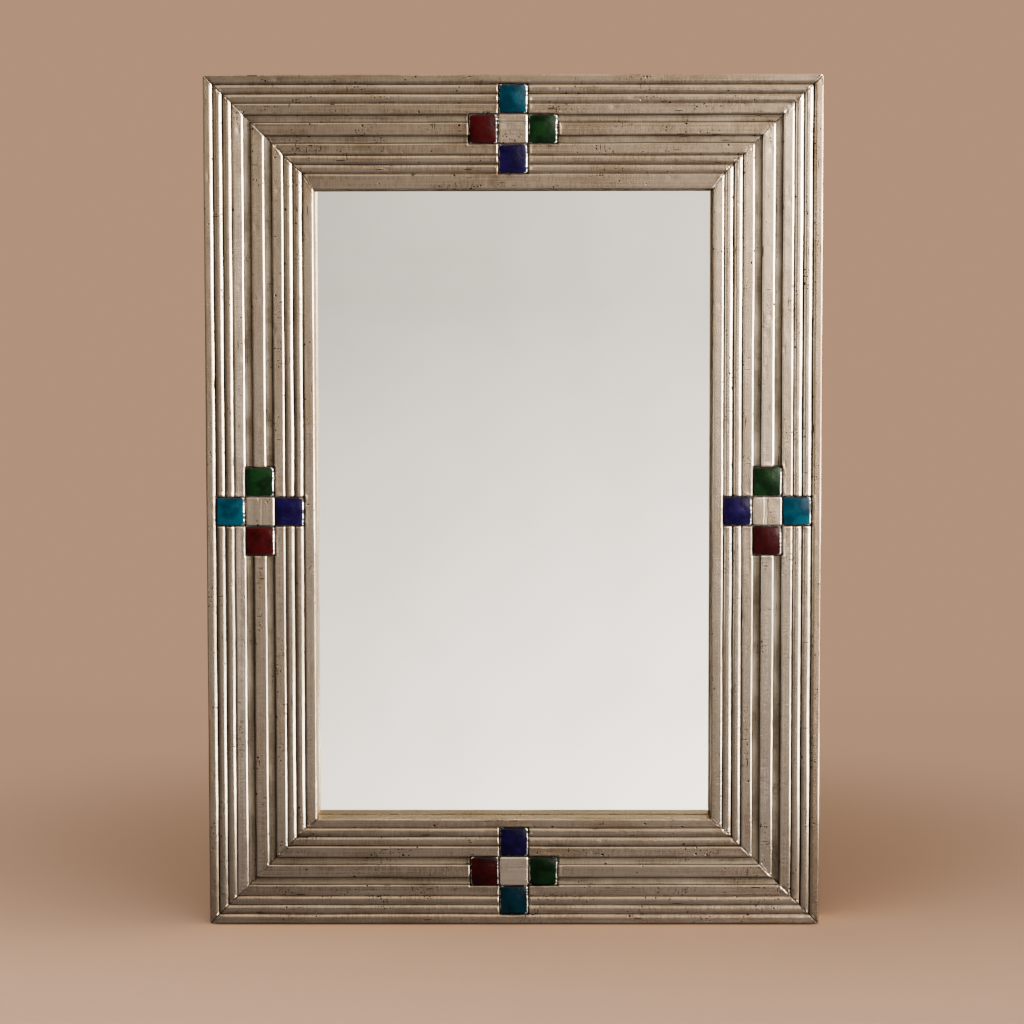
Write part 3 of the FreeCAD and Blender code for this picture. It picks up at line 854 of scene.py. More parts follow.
@dataclass(frozen=True)
class Member:
    """Where one member lies: s runs along it, u inward from its outer edge, v back from its crests."""

    side: Side
    length: float
    inner_band: float
    met: Pair
    cross_at: float
    origin: Triple
    along: Triple
    inward: Triple

    def points(self, s: np.ndarray, u: np.ndarray, v: np.ndarray) -> np.ndarray:
        """Places points of the member in the shared frame.

        Args:
            s: distances along.
            u: distances inward.
            v: depths.

        Returns:
            One row for each point.
        """
        spread = [np.multiply.outer(a.ravel(), np.array(way))
                  for a, way in ((s, self.along), (u, self.inward), (v, (0.0, 1.0, 0.0)))]
        return self.eased(np.array(self.origin) + sum(spread))

    @staticmethod
    def eased(points: np.ndarray) -> np.ndarray:
        """Rounds the frame's four outer corners.

        Args:
            points: one row for each point.

        Returns:
            The points, those at a corner drawn in.
        """
        x, z = points[:, 0], points[:, 2] - FRAME_HEIGHT / 2
        past_x = np.abs(x) - FRAME_WIDTH / 2 + CORNER_EASE
        past_z = np.abs(z) - FRAME_HEIGHT / 2 + CORNER_EASE
        corner = (past_x > 0.0) & (past_z > 0.0)
        scale = np.maximum(past_x, past_z) / np.maximum(np.hypot(past_x, past_z), 1e-9) - 1.0
        shift = np.where(corner, scale, 0.0)
        moved = points.copy()
        moved[:, 0] += np.sign(x) * past_x * shift
        moved[:, 2] += np.sign(z) * past_z * shift
        return moved

    @property
    def turned(self) -> bool:
        """True where s, u and v make a left hand."""
        return float(np.cross(self.along, self.inward)[1]) > 0.0

    @staticmethod
    def all() -> list["Member"]:
        """The four members.

        Returns:
            Top, bottom, left and right.
        """
        ribs = Moulding(inner_band=0.0).width
        top, bottom, stile = (micron(width - ribs) for width in (
            box_size("top_cladding")[2], box_size("bottom_cladding")[2], box_size("left_cladding")[0]))
        wide, high = FRAME_WIDTH, FRAME_HEIGHT
        low = box_middle("left_centre_plate")[2] - high / 2
        right, up = (1.0, 0.0, 0.0), (0.0, 0.0, 1.0)
        left, down = (-1.0, 0.0, 0.0), (0.0, 0.0, -1.0)
        rail, post = (stile, stile), (bottom, top)
        return [
            Member(Side.TOP, wide, top, rail, 0.0, (0.0, CREST_Y, high), right, down),
            Member(Side.BOTTOM, wide, bottom, rail, 0.0, (0.0, CREST_Y, 0.0), right, up),
            Member(Side.LEFT, high, stile, post, low, (-wide / 2, CREST_Y, high / 2), up, right),
            Member(Side.RIGHT, high, stile, post, low, (wide / 2, CREST_Y, high / 2), up, left),
        ]


@dataclass(frozen=True)
class Columns:
    """The section of a sheet as points from the back flange round the face to the glass."""

    u: np.ndarray
    v: np.ndarray
    lean_u: np.ndarray
    lean_v: np.ndarray
    path: np.ndarray
    face: np.ndarray


@dataclass(frozen=True)
class Moulding:
    """The ribbed section that the members share, apart from the width of the band by the glass."""

    inner_band: float
    outer_band: float = 10.5 * MM
    narrow: float = 10.0 * MM
    flank: float = 12.5 * MM
    cove: float = 7.5 * MM
    centre: float = 14.5 * MM
    groove: float = 2.0 * MM
    shoulder: float = 2.2 * MM
    rib_reach: float = 4.0 * MM
    sag: float = 0.9 * MM
    edge: float = 1.6 * MM
    back: float = 41.05 * MM
    bend: float = 1.55 * MM
    flange: float = 12.0 * MM
    reveal: float = 27.5 * MM
    line_gap: float = 0.09 * MM

    def ribs(self) -> list[tuple[str, float]]:
        """Each rib's form and width, from the outer edge inward.

        Returns:
            The ribs.
        """
        narrow = ("narrow", self.narrow)
        flank = [narrow, narrow, ("band", self.flank), ("cove", self.cove)]
        return [("outer", self.outer_band), *flank, ("band", self.centre), *flank[::-1],
                ("inner", self.inner_band)]

    @property
    def width(self) -> float:
        """The member's width."""
        return sum(width for _, width in self.ribs())

    @property
    def flank_at(self) -> float:
        """Where the outer flank begins."""
        return self.outer_band + 2 * self.narrow

    @property
    def cove_at(self) -> float:
        """Where the outer cove begins."""
        return self.flank_at + self.flank

    def depth(self, u: np.ndarray) -> np.ndarray:
        """How deep the face lies below its crests.

        Args:
            u: distances inward from the outer edge.

        Returns:
            One depth for each.
        """
        v = np.zeros_like(u)
        start = 0.0
        for form, width in self.ribs():
            inside = (u >= start) & (u <= start + width)
            t = u[inside] - start
            v[inside] = self.rib_depth(form, t, width)
            start += width
        return v

    def rib_depth(self, form: str, t: np.ndarray, width: float) -> np.ndarray:
        """The depth within one rib.

        Args:
            form: the rib's form.
            t: distances from the rib's first line.
            width: the rib's width.

        Returns:
            One depth for each.
        """
        half = width / 2
        if form == "cove":
            radius = half ** 2 / (2 * self.sag) + self.sag / 2
            return self.groove + np.sqrt(radius ** 2 - (t - half) ** 2) - radius + self.sag
        reach = self.reach(form)
        radius = (reach ** 2 + self.groove ** 2) / (2 * self.groove)
        near = {"outer": width - t, "inner": t}.get(form, np.minimum(t, width - t))
        short = np.clip(reach - near, 0.0, reach)
        return radius - np.sqrt(radius ** 2 - short ** 2)

    def reach(self, form: str) -> float:
        """The width of a rib's shoulder."""
        return self.rib_reach if form in ("outer", "narrow") else self.shoulder

    def face_lines(self, stops: Sequence[float]) -> np.ndarray:
        """Where the face is sampled.

        Args:
            stops: lines that have to be among the samples.

        Returns:
            Distances inward, in order.
        """
        shares = np.array([0.0, 0.05, 0.12, 0.21, 0.31, 0.42, 0.54, 0.66, 0.78, 0.9, 1.0])
        lines: list[float] = []
        start = 0.0
        for form, width in self.ribs():
            if form == "cove":
                lines += list(start + width * (1 - np.cos(np.linspace(0, np.pi, 15))) / 2)
            else:
                fine = shares * self.reach(form)
                low = self.edge if form == "outer" else self.reach(form)
                high = width - (self.edge if form == "inner" else self.reach(form))
                lines += list(start + np.linspace(low, high, 6))
                lines += [] if form == "outer" else list(start + fine)
                lines += [] if form == "inner" else list(start + width - fine)
            start += width
        kept = sorted(stops)
        for line in sorted(lines):
            clear = min(abs(line - other) for other in kept) > self.line_gap
            if clear and self.edge <= line <= self.width - self.edge:
                kept.append(line)
        return np.array(sorted(kept))

    def columns(self, stops: Sequence[float]) -> Columns:
        """The whole section of a sheet.

        Args:
            stops: lines of the face that have to be among the samples.

        Returns:
            The columns.
        """
        quarter = np.linspace(0.0, np.pi / 2, 8)
        sine, rest = np.sin(quarter), 1 - np.cos(quarter)
        mid = self.face_lines(stops)[1:-1]
        far = self.width - self.edge
        flange = np.linspace(self.flange, self.bend, 5)[:-1]
        side = np.linspace(self.back - self.bend, self.edge, 16)[1:-1]
        reveal = np.linspace(self.edge, self.reveal, 11)[1:]
        u = np.concatenate([
            flange, self.bend * (1 - sine), np.zeros_like(side), self.edge * rest,
            mid, far + self.edge * sine, np.full_like(reveal, self.width)])
        v = np.concatenate([
            np.full_like(flange, self.back), self.back - self.bend * rest, side,
            self.edge * (1 - sine), self.depth(mid), self.edge * rest, reveal])
        du, dv = np.gradient(u), np.gradient(v)
        size = np.hypot(du, dv)
        path = np.concatenate([[0.0], np.cumsum(np.hypot(np.diff(u), np.diff(v)))])
        face = (v < self.groove + 2 * self.sag) & (u > self.edge / 2) & (u < self.width - self.edge / 2)
        return Columns(u, v, dv / size, -du / size, path, face)


@dataclass(frozen=True)
class CrossPlan:
    """The five squares of a cross on a member."""

    middle: float = 0.0
    pitch: float = box_middle("left_centre_plate")[0] - box_middle("left_teal_tile")[0]
    centre: float = box_middle("left_centre_plate")[0] + FRAME_WIDTH / 2
    rolls: tuple[float, ...] = tuple(MM * roll for roll in (0.12, 0.3, 0.6, 1.0, 1.5, 2.2, 3.2))

    def lines(self) -> list[float]:
        """Lines on both sides of the middle that the sheet's mesh keeps.

        Returns:
            Distances from the middle.
        """
        ends = (self.pitch / 2, self.pitch * 1.5)
        return [sign * (end + roll) for sign in (-1, 1) for end in ends for roll in (0.0, *self.rolls)]

    def away(self, s: np.ndarray, u: np.ndarray) -> np.ndarray:
        """How far points lie outside the cross.

        Args:
            s: distances along the member.
            u: distances inward from the outer edge.

        Returns:
            Zero inside, and the distance outside.
        """
        a, b = np.abs(s - self.middle), np.abs(u - self.centre)
        short, long = self.pitch / 2, self.pitch * 1.5
        first = np.hypot(np.maximum(a - short, 0), np.maximum(b - long, 0))
        second = np.hypot(np.maximum(a - long, 0), np.maximum(b - short, 0))
        return np.minimum(first, second)

    def cell(self, enamel: Enamel) -> Pair:
        """The middle of the square that a colour takes.

        Args:
            enamel: the colour.

        Returns:
            The distances along and inward.
        """
        return {
            Enamel.TEAL: (self.middle, self.centre - self.pitch),
            Enamel.COBALT: (self.middle, self.centre + self.pitch),
            Enamel.RED: (self.middle - self.pitch, self.centre),
            Enamel.GREEN: (self.middle + self.pitch, self.centre),
        }[enamel]


@dataclass(frozen=True)
class SheetGrid:
    """A sheet's points before it is worked, rows along the member by columns round its section.

    Each point has its place along, inward and back, its place round the section, whether it lies on the
    face, the way out of the sheet, and how far it is from the cross and from the nearer mitre.
    """

    s: np.ndarray
    u: np.ndarray
    v: np.ndarray
    path: np.ndarray
    face: np.ndarray
    lean_u: np.ndarray
    lean_v: np.ndarray
    away: np.ndarray
    mitre: np.ndarray


@dataclass(frozen=True)
class TinSheath:
    """The embossed sheet over one member, dented, rolled into the tile pocket and soldered at its mitres.

    A pitch is the length of an unevenness along the sheet and across it.
    """

    member: Member
    moulding: Moulding
    plan: CrossPlan
    seed: int
    step: float = 2.4 * MM
    fan_rows: int = 56
    fan_run: float = 20.0 * MM
    wave: float = 0.11 * MM
    wave_pitch: Pair = (48 * MM, 22 * MM)
    ruffle: float = 0.05 * MM
    ruffle_pitch: Pair = (9 * MM, 6 * MM)
    wander: float = 0.26 * MM
    wander_pitch: Pair = (75 * MM, 13 * MM)
    calm_from: float = 2 * MM
    calm_run: float = 6 * MM
    calm_mitre: float = 8 * MM
    dents: int = 70
    dent_depth: float = 0.30 * MM
    dent_long: Pair = (1.2 * MM, 5.0 * MM)
    dent_wide: Pair = (1.0 * MM, 2.6 * MM)
    flank_lean: float = 0.045
    seam_dip: float = 0.17 * MM
    seam_reach: float = 0.6 * MM
    solder: float = 0.30 * MM
    solder_reach: float = 2.6 * MM
    solder_pitch: Pair = (1.2 * MM, 1.2 * MM)
    roll: float = 1.3 * MM
    roll_pitch: Pair = (4.0 * MM, 4.0 * MM)
    lip: float = 0.22 * MM
    lip_at: float = 2.0 * MM
    lip_width: float = 1.1 * MM
    lip_pitch: Pair = (2.6 * MM, 2.6 * MM)
    fray: float = 0.16 * MM
    fray_reach: float = 1.2 * MM
    fray_pitch: Pair = (3.1 * MM, 3.1 * MM)
    skirt: float = 6.0 * MM
    sheet: float = 0.5 * MM
    # painted shade on the reveal by the glass, per side: darkest on the top member, whose reveal faces down
    shaded: dict[Side, float] = field(default_factory=lambda: {
        Side.TOP: 0.82, Side.BOTTOM: 0.20, Side.LEFT: 0.20, Side.RIGHT: 0.55})
    # cove floors per side; on the stiles darker toward the left of each cove: painted shade with grime
    dust: dict[Side, Pair] = field(default_factory=lambda: {
        Side.TOP: (0.74, 0.74), Side.BOTTOM: (0.78, 0.78),
        Side.LEFT: (0.95, 0.82), Side.RIGHT: (0.88, 0.95)})
    # where groove soil begins and how fast it deepens, per side: grime with painted shade
    soiled: dict[Side, Pair] = field(default_factory=lambda: {
        Side.TOP: (0.52, 0.30), Side.BOTTOM: (0.46, 0.28),
        Side.LEFT: (0.40, 0.24), Side.RIGHT: (0.34, 0.24)})
    # upward shoulders on the rails start their soil this deep, so only the downward ones carry painted shade
    upturned_soil_start: float = 0.88
    # reach of the painted contact shadow along the bottom member's outer edge
    contact_shadow_reach: float = 1.1 * MM
    rim_reach: float = 1.3 * MM
    joint_reach: float = 0.75 * MM
    joint_pitch: Pair = (5 * MM, 5 * MM)
    grit_reach: float = 3.2 * MM
    edge_reach: float = 5 * MM
    tile_reach: float = 6 * MM
    lap: float = 11 * MM
    lap_stain: float = 0.9
    flank_polish: float = -1.5
    band_stain: float = 1.0
    centre_polish: float = -0.9
    side_stain: float = 0.35

    def ends(self, u: np.ndarray) -> tuple[np.ndarray, np.ndarray]:
        """Where the mitres cut the member.

        Args:
            u: distances inward.

        Returns:
            The two ends' distances along.
        """
        half = self.member.length / 2
        ribs = self.moulding.width - self.moulding.inner_band
        even, past = np.minimum(u, ribs), np.maximum(u - ribs, 0.0) / self.moulding.inner_band
        low, high = (half - even - past * met for met in self.member.met)
        return -low, high

    def rows(self, u: np.ndarray) -> np.ndarray:
        """Where each row of points lies along the member.

        Args:
            u: the columns' distances inward.

        Returns:
            A grid of distances along, rows by columns.
        """
        low, high = self.ends(u)
        first, last = low.max() + self.fan_run, high.min() - self.fan_run
        even = np.linspace(first, last, int((last - first) / self.step))
        stops = self.plan.middle + np.array(self.plan.lines())
        clear = np.abs(even[:, None] - stops[None, :]).min(1) > self.step * 0.3
        middle = np.sort(np.concatenate([even[clear], stops]))
        near = np.array([2.2, 1.5, 0.95, 0.55, 0.25, 0.0])[:, None] * MM
        share = np.linspace(0.0, 1.0, self.fan_rows)[1:, None]
        foot = np.concatenate([first + share * (low + near[0] - first), low + near[1:]])
        head = np.concatenate([last + share * (high - near[0] - last), high - near[1:]])
        return np.concatenate([foot[::-1], np.repeat(middle[:, None], len(u), 1), head])

    def grid(self) -> SheetGrid:
        """Lays out the sheet.

        Returns:
            Its points.
        """
        stops = [self.plan.centre + line for line in self.plan.lines()]
        cols = self.moulding.columns([line for line in stops if 0 < line < self.moulding.width])
        s = self.rows(cols.u)
        u, v, path, face, lean_u, lean_v = (np.broadcast_to(column, s.shape) for column in (
            cols.u, cols.v, cols.path, cols.face, cols.lean_u, cols.lean_v))
        away = np.where(face, self.plan.away(s, u), self.moulding.width)
        low, high = self.ends(cols.u)
        mitre = np.minimum(high - s, s - low) / math.sqrt(2)
        return SheetGrid(s, u, v, path, face, lean_u, lean_v, away, mitre)

    def ripple(self, number: int, pitch: Pair) -> Ripple:
        """One unevenness of this sheet."""
        return Ripple(self.seed + number, *pitch)

    def unevenness(self, at: SheetGrid) -> np.ndarray:
        """Waves and dents that the sheet got while it was worked.

        Args:
            at: the sheet's points.

        Returns:
            How far each point stands out.
        """
        shape = self.moulding
        rise = self.wave * (self.ripple(0, self.wave_pitch).at(at.s, at.path) - 1.0)
        rise += self.ruffle * self.ripple(1, self.ruffle_pitch).at(at.s, at.path)
        draw = np.random.default_rng(self.seed + 2)
        for _ in range(self.dents):
            along = draw.uniform(-0.5, 0.5) * self.member.length
            across = draw.uniform(0.0, 1.0) * shape.width
            long, wide = draw.uniform(*self.dent_long), draw.uniform(*self.dent_wide)
            deep = self.dent_depth * draw.uniform(0.25, 1.0)
            spread = ((at.s - along) / long) ** 2 + ((at.u - across) / wide) ** 2
            rise -= np.where(at.face, deep * np.exp(-spread), 0.0)
        if self.member.side is Side.LEFT:
            offset = at.u - (shape.flank_at + shape.flank / 2)
            on_flank = at.face & (np.abs(offset) < shape.flank / 2)
            rise -= np.where(on_flank, offset * self.flank_lean, 0.0)
        return np.maximum(rise, -self.dent_depth * 1.3)

    def worked(self, at: SheetGrid) -> np.ndarray:
        """Moves the points to where the work left them: beaten, soldered and rolled into the pocket.

        Args:
            at: the sheet's points.

        Returns:
            One row for each point, in the shared frame.
        """
        rise = self.unevenness(at) - self.seam_dip * np.exp(-(at.mitre / self.seam_reach) ** 2)
        beads = self.ripple(4, self.solder_pitch).at(at.s, at.path)
        rise += self.solder * beads * np.exp(-(at.mitre / self.solder_reach) ** 2)
        calm = np.clip((at.away - self.calm_from) / self.calm_run, 0.0, 1.0)
        calm *= np.clip(at.mitre / self.calm_mitre, 0.0, 1.0)
        drift = self.ripple(5, self.wander_pitch).at(at.s, at.path) * self.wander * calm
        lip = self.lip * np.exp(-((at.away - self.lip_at) / self.lip_width) ** 2)
        lip *= 0.6 + 0.8 * self.ripple(6, self.lip_pitch).at(at.s, at.u)
        turn = self.roll * (1.0 + 0.4 * self.ripple(7, self.roll_pitch).at(at.s, at.u))
        short = np.clip(turn - at.away, 0.0, turn)
        sink = turn - np.sqrt(np.maximum(turn ** 2 - short ** 2, 0.0))
        fray = self.fray * np.exp(-at.away / self.fray_reach)
        jog_s, jog_u = (fray * self.ripple(number, self.fray_pitch).at(at.s, at.u) for number in (8, 9))
        return self.member.points(at.s + jog_s,
                                  at.u + at.lean_u * rise + np.where(at.face, drift, 0.0) + jog_u,
                                  at.v + at.lean_v * rise + np.where(at.face, sink - lip, 0.0))

    def groove_soil_and_shade(self, at: SheetGrid) -> np.ndarray:
        """How much grime and painted shade lie in the grooves and coves.

        Args:
            at: the sheet's points.

        Returns:
            A share for each point.
        """
        shape, side = self.moulding, self.member.side
        start, run = self.soiled[side]
        # painted shade: on the rails, downward shoulders darken and upward ones stay clean but for the groove
        # bottom
        rising = np.gradient(at.v, axis=1) * {Side.TOP: -1.0, Side.BOTTOM: 1.0}.get(side, 0.0)
        start = np.where(rising > 0.0, self.upturned_soil_start, start)
        groove = np.clip((at.v / shape.groove - start) / run, 0.0, 1.0)
        # painted shade with grime: cove floors graded by side
        outer, inner = self.dust[side]
        share = np.mod(at.u - shape.cove_at, shape.cove + shape.centre) / shape.cove
        floor = outer + (inner - outer) * np.clip(share, 0.0, 1.0)
        cove = np.maximum(1.0 - (at.v - shape.groove) / shape.sag * 0.5, floor)
        return np.where(at.v > shape.groove, cove, groove)

    def soil_and_shade(self, at: SheetGrid) -> np.ndarray:
        """Where grime and painted shade lie: grime along the mitres, grime with painted shade in the grooves
        and round the cross, painted shade on the reveal and a painted contact shadow on the bottom member's
        outer edge.

        Args:
            at: the sheet's points.

        Returns:
            A share for each point.
        """
        shape, side = self.moulding, self.member.side
        # grime with painted shade round the cross opening
        rim = np.clip(1.15 - at.away / self.rim_reach, 0.0, 1.0)
        patchy = np.clip(0.92 + 1.2 * self.ripple(11, self.joint_pitch).at(at.u, at.mitre), 0.0, 1.0)
        joint = np.clip(1.6 - at.mitre / self.joint_reach, 0.0, 1.0) * patchy
        # painted shade on the reveal, per side
        reveal = np.clip(at.v / shape.edge * 2.0 - 0.6, 0.0, 1.0) * self.shaded[side]
        # painted contact shadow along the bottom member's outer edge, where it meets the floor
        painted_contact_shadow = np.clip(1.25 - at.u / self.contact_shadow_reach, 0.0, 0.95) * (side is Side.BOTTOM)
        front = np.maximum.reduce([self.groove_soil_and_shade(at), rim, joint])
        soil = np.where(at.face, front, np.where(at.u > shape.width / 2, reveal, 0.0))
        return np.maximum(soil, np.where(at.v < shape.back / 2, painted_contact_shadow, 0.0))

    def stain(self, at: SheetGrid) -> np.ndarray:
        """Where the patina is heavier, by the outer edge and the tiles, and where it is rubbed off.

        Args:
            at: the sheet's points.

        Returns:
            A share for each point, below 0 where the tin is polished.
        """
        shape, side = self.moulding, self.member.side
        edge = np.exp(-at.u / self.edge_reach) * (0.1 if side is Side.TOP else 0.5)
        tiles = np.exp(-at.away / self.tile_reach) * 0.5
        worn = np.zeros(at.s.shape)
        if side is Side.LEFT:
            lapped = at.s > self.ends(np.array([shape.width]))[1] - self.lap
            worn[(at.u > shape.flank_at) & (at.u < shape.cove_at)] = self.flank_polish
            worn[lapped & (at.u > shape.width - shape.inner_band)] = self.lap_stain
        elif side is Side.RIGHT:
            worn[at.u < shape.outer_band] = self.band_stain
            worn[np.abs(at.u - self.plan.centre) < shape.centre / 2] = self.centre_polish
        return np.where(at.face, np.maximum(edge, tiles) + worn, self.side_stain)

    def faces(self, at: SheetGrid) -> tuple[list[list[int]], np.ndarray]:
        """The sheet's faces, open at the cross and turned down round it.

        Args:
            at: the sheet's points.

        Returns:
            The faces, and the numbers of the points that get a foot below them.
        """
        mid_s, mid_u = ((a[:-1, :-1] + a[1:, 1:]) / 2 for a in (at.s, at.u))
        inner = at.face[:-1, :-1] & at.face[1:, 1:] & (self.plan.away(mid_s, mid_u) <= 0.0)
        quads = Bench.quads(*at.s.shape)
        if self.member.turned:
            quads = quads[..., ::-1]
        around: dict[tuple[int, int], None] = {}
        for quad in quads[inner].tolist():
            for a, b in zip(quad, quad[1:] + quad[:1]):
                if (b, a) in around:
                    del around[(b, a)]
                else:
                    around[(a, b)] = None
        foot = np.array(sorted({a for a, _ in around}))
        below = {a: at.s.size + number for number, a in enumerate(foot.tolist())}
        wall = [[a, b, below[b], below[a]] for a, b in around]
        return quads[~inner].tolist() + wall, foot

    def dress(self, piece: bpy.types.Object, at: SheetGrid, foot: np.ndarray) -> None:
        """Stores what the finish reads on the sheet.

        Args:
            piece: the sheet.
            at: its points.
            foot: the numbers of the points that have a foot below them.
        """
        grit = np.where(at.face, np.exp(-at.mitre / self.grit_reach), 0.0)
        for name, values in (("soil_and_shade", self.soil_and_shade(at)), ("seam", grit), ("stain", self.stain(at))):
            Bench.carry(piece, name, values.ravel(), foot)
        grain = grain_of(at.s, at.path, self.seed, SHEET_GRAIN)
        Bench.carry(piece, "grain", grain, foot, (0.0, self.skirt, 0.0))
        way = np.multiply.outer(-at.lean_v, np.array(self.member.inward))
        way[..., 1] = at.lean_u
        Bench.carry(piece, "across", way.reshape(-1, 3), foot)

    def build(self, finish: bpy.types.Material) -> bpy.types.Object:
        """Makes the sheet.

        Args:
            finish: the tin.

        Returns:
            The piece.
        """
        at = self.grid()
        faces, foot = self.faces(at)
        low = self.member.points(at.s.ravel()[foot], at.u.ravel()[foot], np.full(len(foot), self.skirt))
        points = np.concatenate([self.worked(at), low])
        piece = Bench.piece(f"{self.member.side.value}_tin_sheath", points, faces, finish)
        self.dress(piece, at, foot)
        thick = piece.modifiers.new("sheet", "SOLIDIFY")
        thick.thickness, thick.offset = self.sheet, -1.0
        Bench.seat(piece, f"{self.member.side.value}_cladding", "aged_tin")
        return piece


@dataclass(frozen=True)
class SquareBlock:
    """A square block with rounded uprights and a rolled rim, its top a fine grid."""

    side: float
    corner: float
    rim: float
    top: float
    foot: float
    crown: float
    lines: int = 49

    def grid(self) -> tuple[np.ndarray, np.ndarray, np.ndarray, np.ndarray]:
        """The top's points.

        Returns:
            Offsets along and inward, depths, and distances from the rim.
        """
        half = self.side / 2
        line = half * np.sin(np.linspace(-1, 1, self.lines) * np.pi / 2)
        a, b = np.meshgrid(line, line, indexing="ij")
        inset = half - np.maximum(np.abs(a), np.abs(b))
        pivot = half - self.corner
        da, db = np.abs(a) - pivot, np.abs(b) - pivot
        at_corner = (da > 0) & (db > 0)
        scale = np.where(at_corner, np.maximum(da, db) / np.maximum(np.hypot(da, db), 1e-9), 1.0)
        a = np.where(at_corner, np.sign(a) * (pivot + da * scale), a)
        b = np.where(at_corner, np.sign(b) * (pivot + db * scale), b)
        short = np.clip(self.rim - inset, 0.0, self.rim)
        v = self.top + self.crown * (a ** 2 + b ** 2) / half ** 2
        return a, b, v + self.rim - np.sqrt(self.rim ** 2 - short ** 2), inset

    def faces(self, turned: bool) -> tuple[list[list[int]], np.ndarray]:
        """The faces of the top, the sides and the foot.

        Args:
            turned: True where the faces go the other way round.

        Returns:
            The faces, and the numbers of the rim's points.
        """
        n = self.lines
        index = np.arange(n * n).reshape(n, n)
        rim = np.concatenate([index[:-1, 0], index[-1, :-1], index[:0:-1, -1], index[0, :0:-1]])
        top = Bench.quads(n, n).reshape(-1, 4)
        low = n * n + np.arange(len(rim))
        walls = np.stack([rim, low, np.roll(low, -1), np.roll(rim, -1)], -1)
        faces = top.tolist() + walls.tolist() + [low[::-1].tolist()]
        return [face[::-1] for face in faces] if turned else faces, rim


@dataclass(frozen=True)
class TileCross:
    """Four glazed tiles round a tin plate at the middle of one member."""

    member: Member
    plan: CrossPlan
    seed: int
    tile: SquareBlock = SquareBlock(
        box_size("left_teal_tile")[0], 2.2 * MM, 1.7 * MM, -1.4 * MM, 6.2 * MM, 1.0 * MM)
    plate: SquareBlock = SquareBlock(
        box_size("left_centre_plate")[0], 2.4 * MM, 1.7 * MM, -0.6 * MM, 3.4 * MM, 0.0, 61)
    tile_seeds: tuple[int, int] = (20, 7)
    plate_seed: int = 60
    ripple_shift: float = 0.2
    askew: float = 0.012
    uneven: float = 0.22 * MM
    uneven_pitch: Pair = (9 * MM, 9 * MM)
    swell: float = 0.10 * MM
    swell_pitch: Pair = (8 * MM, 8 * MM)
    swell_from: float = 3 * MM
    # how far in from the tile's rim the painted shade and grime reach
    rim_grime_and_shade: float = 2.6 * MM
    bare_from: float = 0.55
    bare_run: float = 0.3
    bare_least: float = 0.12
    wave: float = 0.14 * MM
    wave_pitch: Pair = (13 * MM, 6 * MM)
    wave_from: float = 1.5 * MM
    plate_rim_grime_and_shade: float = 0.5 * MM
    crease: float = 0.42 * MM
    crease_width: float = 0.5 * MM
    crease_dark_width: float = 0.52 * MM
    crease_start: float = 0.3
    crease_wander: float = 0.5 * MM
    crease_pitch: Pair = (7 * MM, 7 * MM)
    creases: dict[Side, tuple[Triple, ...]] = field(default_factory=lambda: {
        Side.TOP: ((-0.46, -1.3, 1.0), (-0.30, -1.3, 0.7)), Side.BOTTOM: ((0.18, -0.6, 0.4),),
        Side.LEFT: ((-0.10, 0.70, 1.0), (0.12, -1.3, 0.35)),
        Side.RIGHT: ((0.17, -1.3, 0.9), (0.03, -1.3, 0.8))})
    # painted light: the top and bottom plates are lightened toward polished tin, the bottom one most, for the
    # light they reflect
    painted_plate_light: dict[Side, float] = field(default_factory=lambda: {
        Side.TOP: -1.4, Side.BOTTOM: -2.2, Side.LEFT: 0.0, Side.RIGHT: 0.0})
    left_rim: dict[Side, float] = field(default_factory=lambda: {
        Side.TOP: 0.9, Side.BOTTOM: 0.9, Side.LEFT: 0.5, Side.RIGHT: 0.4})
    shades: dict[tuple[Side, Enamel], float] = field(default_factory=lambda: {
        (Side.BOTTOM, Enamel.TEAL): 0.70, (Side.BOTTOM, Enamel.COBALT): 0.40,
        (Side.BOTTOM, Enamel.GREEN): 0.35, (Side.BOTTOM, Enamel.RED): 0.30,
        (Side.RIGHT, Enamel.RED): 0.35, (Side.TOP, Enamel.TEAL): 0.15})

    def ripple(self, seed: int, pitch: Pair, a: np.ndarray, b: np.ndarray) -> np.ndarray:
        """Unevenness over one square."""
        return Ripple(seed, *pitch).at(a + self.ripple_shift, b + self.ripple_shift)

    @staticmethod
    def turned(a: np.ndarray, b: np.ndarray, angle: float) -> tuple[np.ndarray, np.ndarray]:
        """Turns offsets a little about the square's middle."""
        return a * math.cos(angle) - b * math.sin(angle), a * math.sin(angle) + b * math.cos(angle)

    def placed(self, block: SquareBlock, cell: Pair, a: np.ndarray, b: np.ndarray, v: np.ndarray,
               name: str, finish: bpy.types.Material) -> tuple[bpy.types.Object, np.ndarray]:
        """Sets a square on the member.

        Args:
            block: the square's form.
            cell: the middle of its place, along and inward.
            a: its points' offsets along.
            b: their offsets inward.
            v: their depths.
            name: the piece's name.
            finish: its material.

        Returns:
            The piece, and the numbers of the points at its rim.
        """
        faces, rim = block.faces(self.member.turned)
        s, u = cell[0] + a, cell[1] + b
        top = self.member.points(s, u, v)
        low = self.member.points(s.ravel()[rim], u.ravel()[rim], np.full(len(rim), block.foot))
        return Bench.piece(name, np.concatenate([top, low]), faces, finish), rim

    def bare(self, piece: bpy.types.Object, count: int) -> np.ndarray:
        """How far the glaze of a tile is worn off toward its left and right edges.

        Args:
            piece: the tile.
            count: how many of its points lie on top.

        Returns:
            A share for each point on top.
        """
        x = np.array([vert.co.x for vert in piece.data.vertices[:count]])
        across = (x - x.mean()) / (self.tile.side / 2)
        right = np.clip((across - self.bare_from) / self.bare_run, self.bare_least, 1.0)
        left = np.clip((-across - self.bare_from) / self.bare_run, 0.0, 1.0)
        return np.maximum(right, left * self.left_rim[self.member.side])

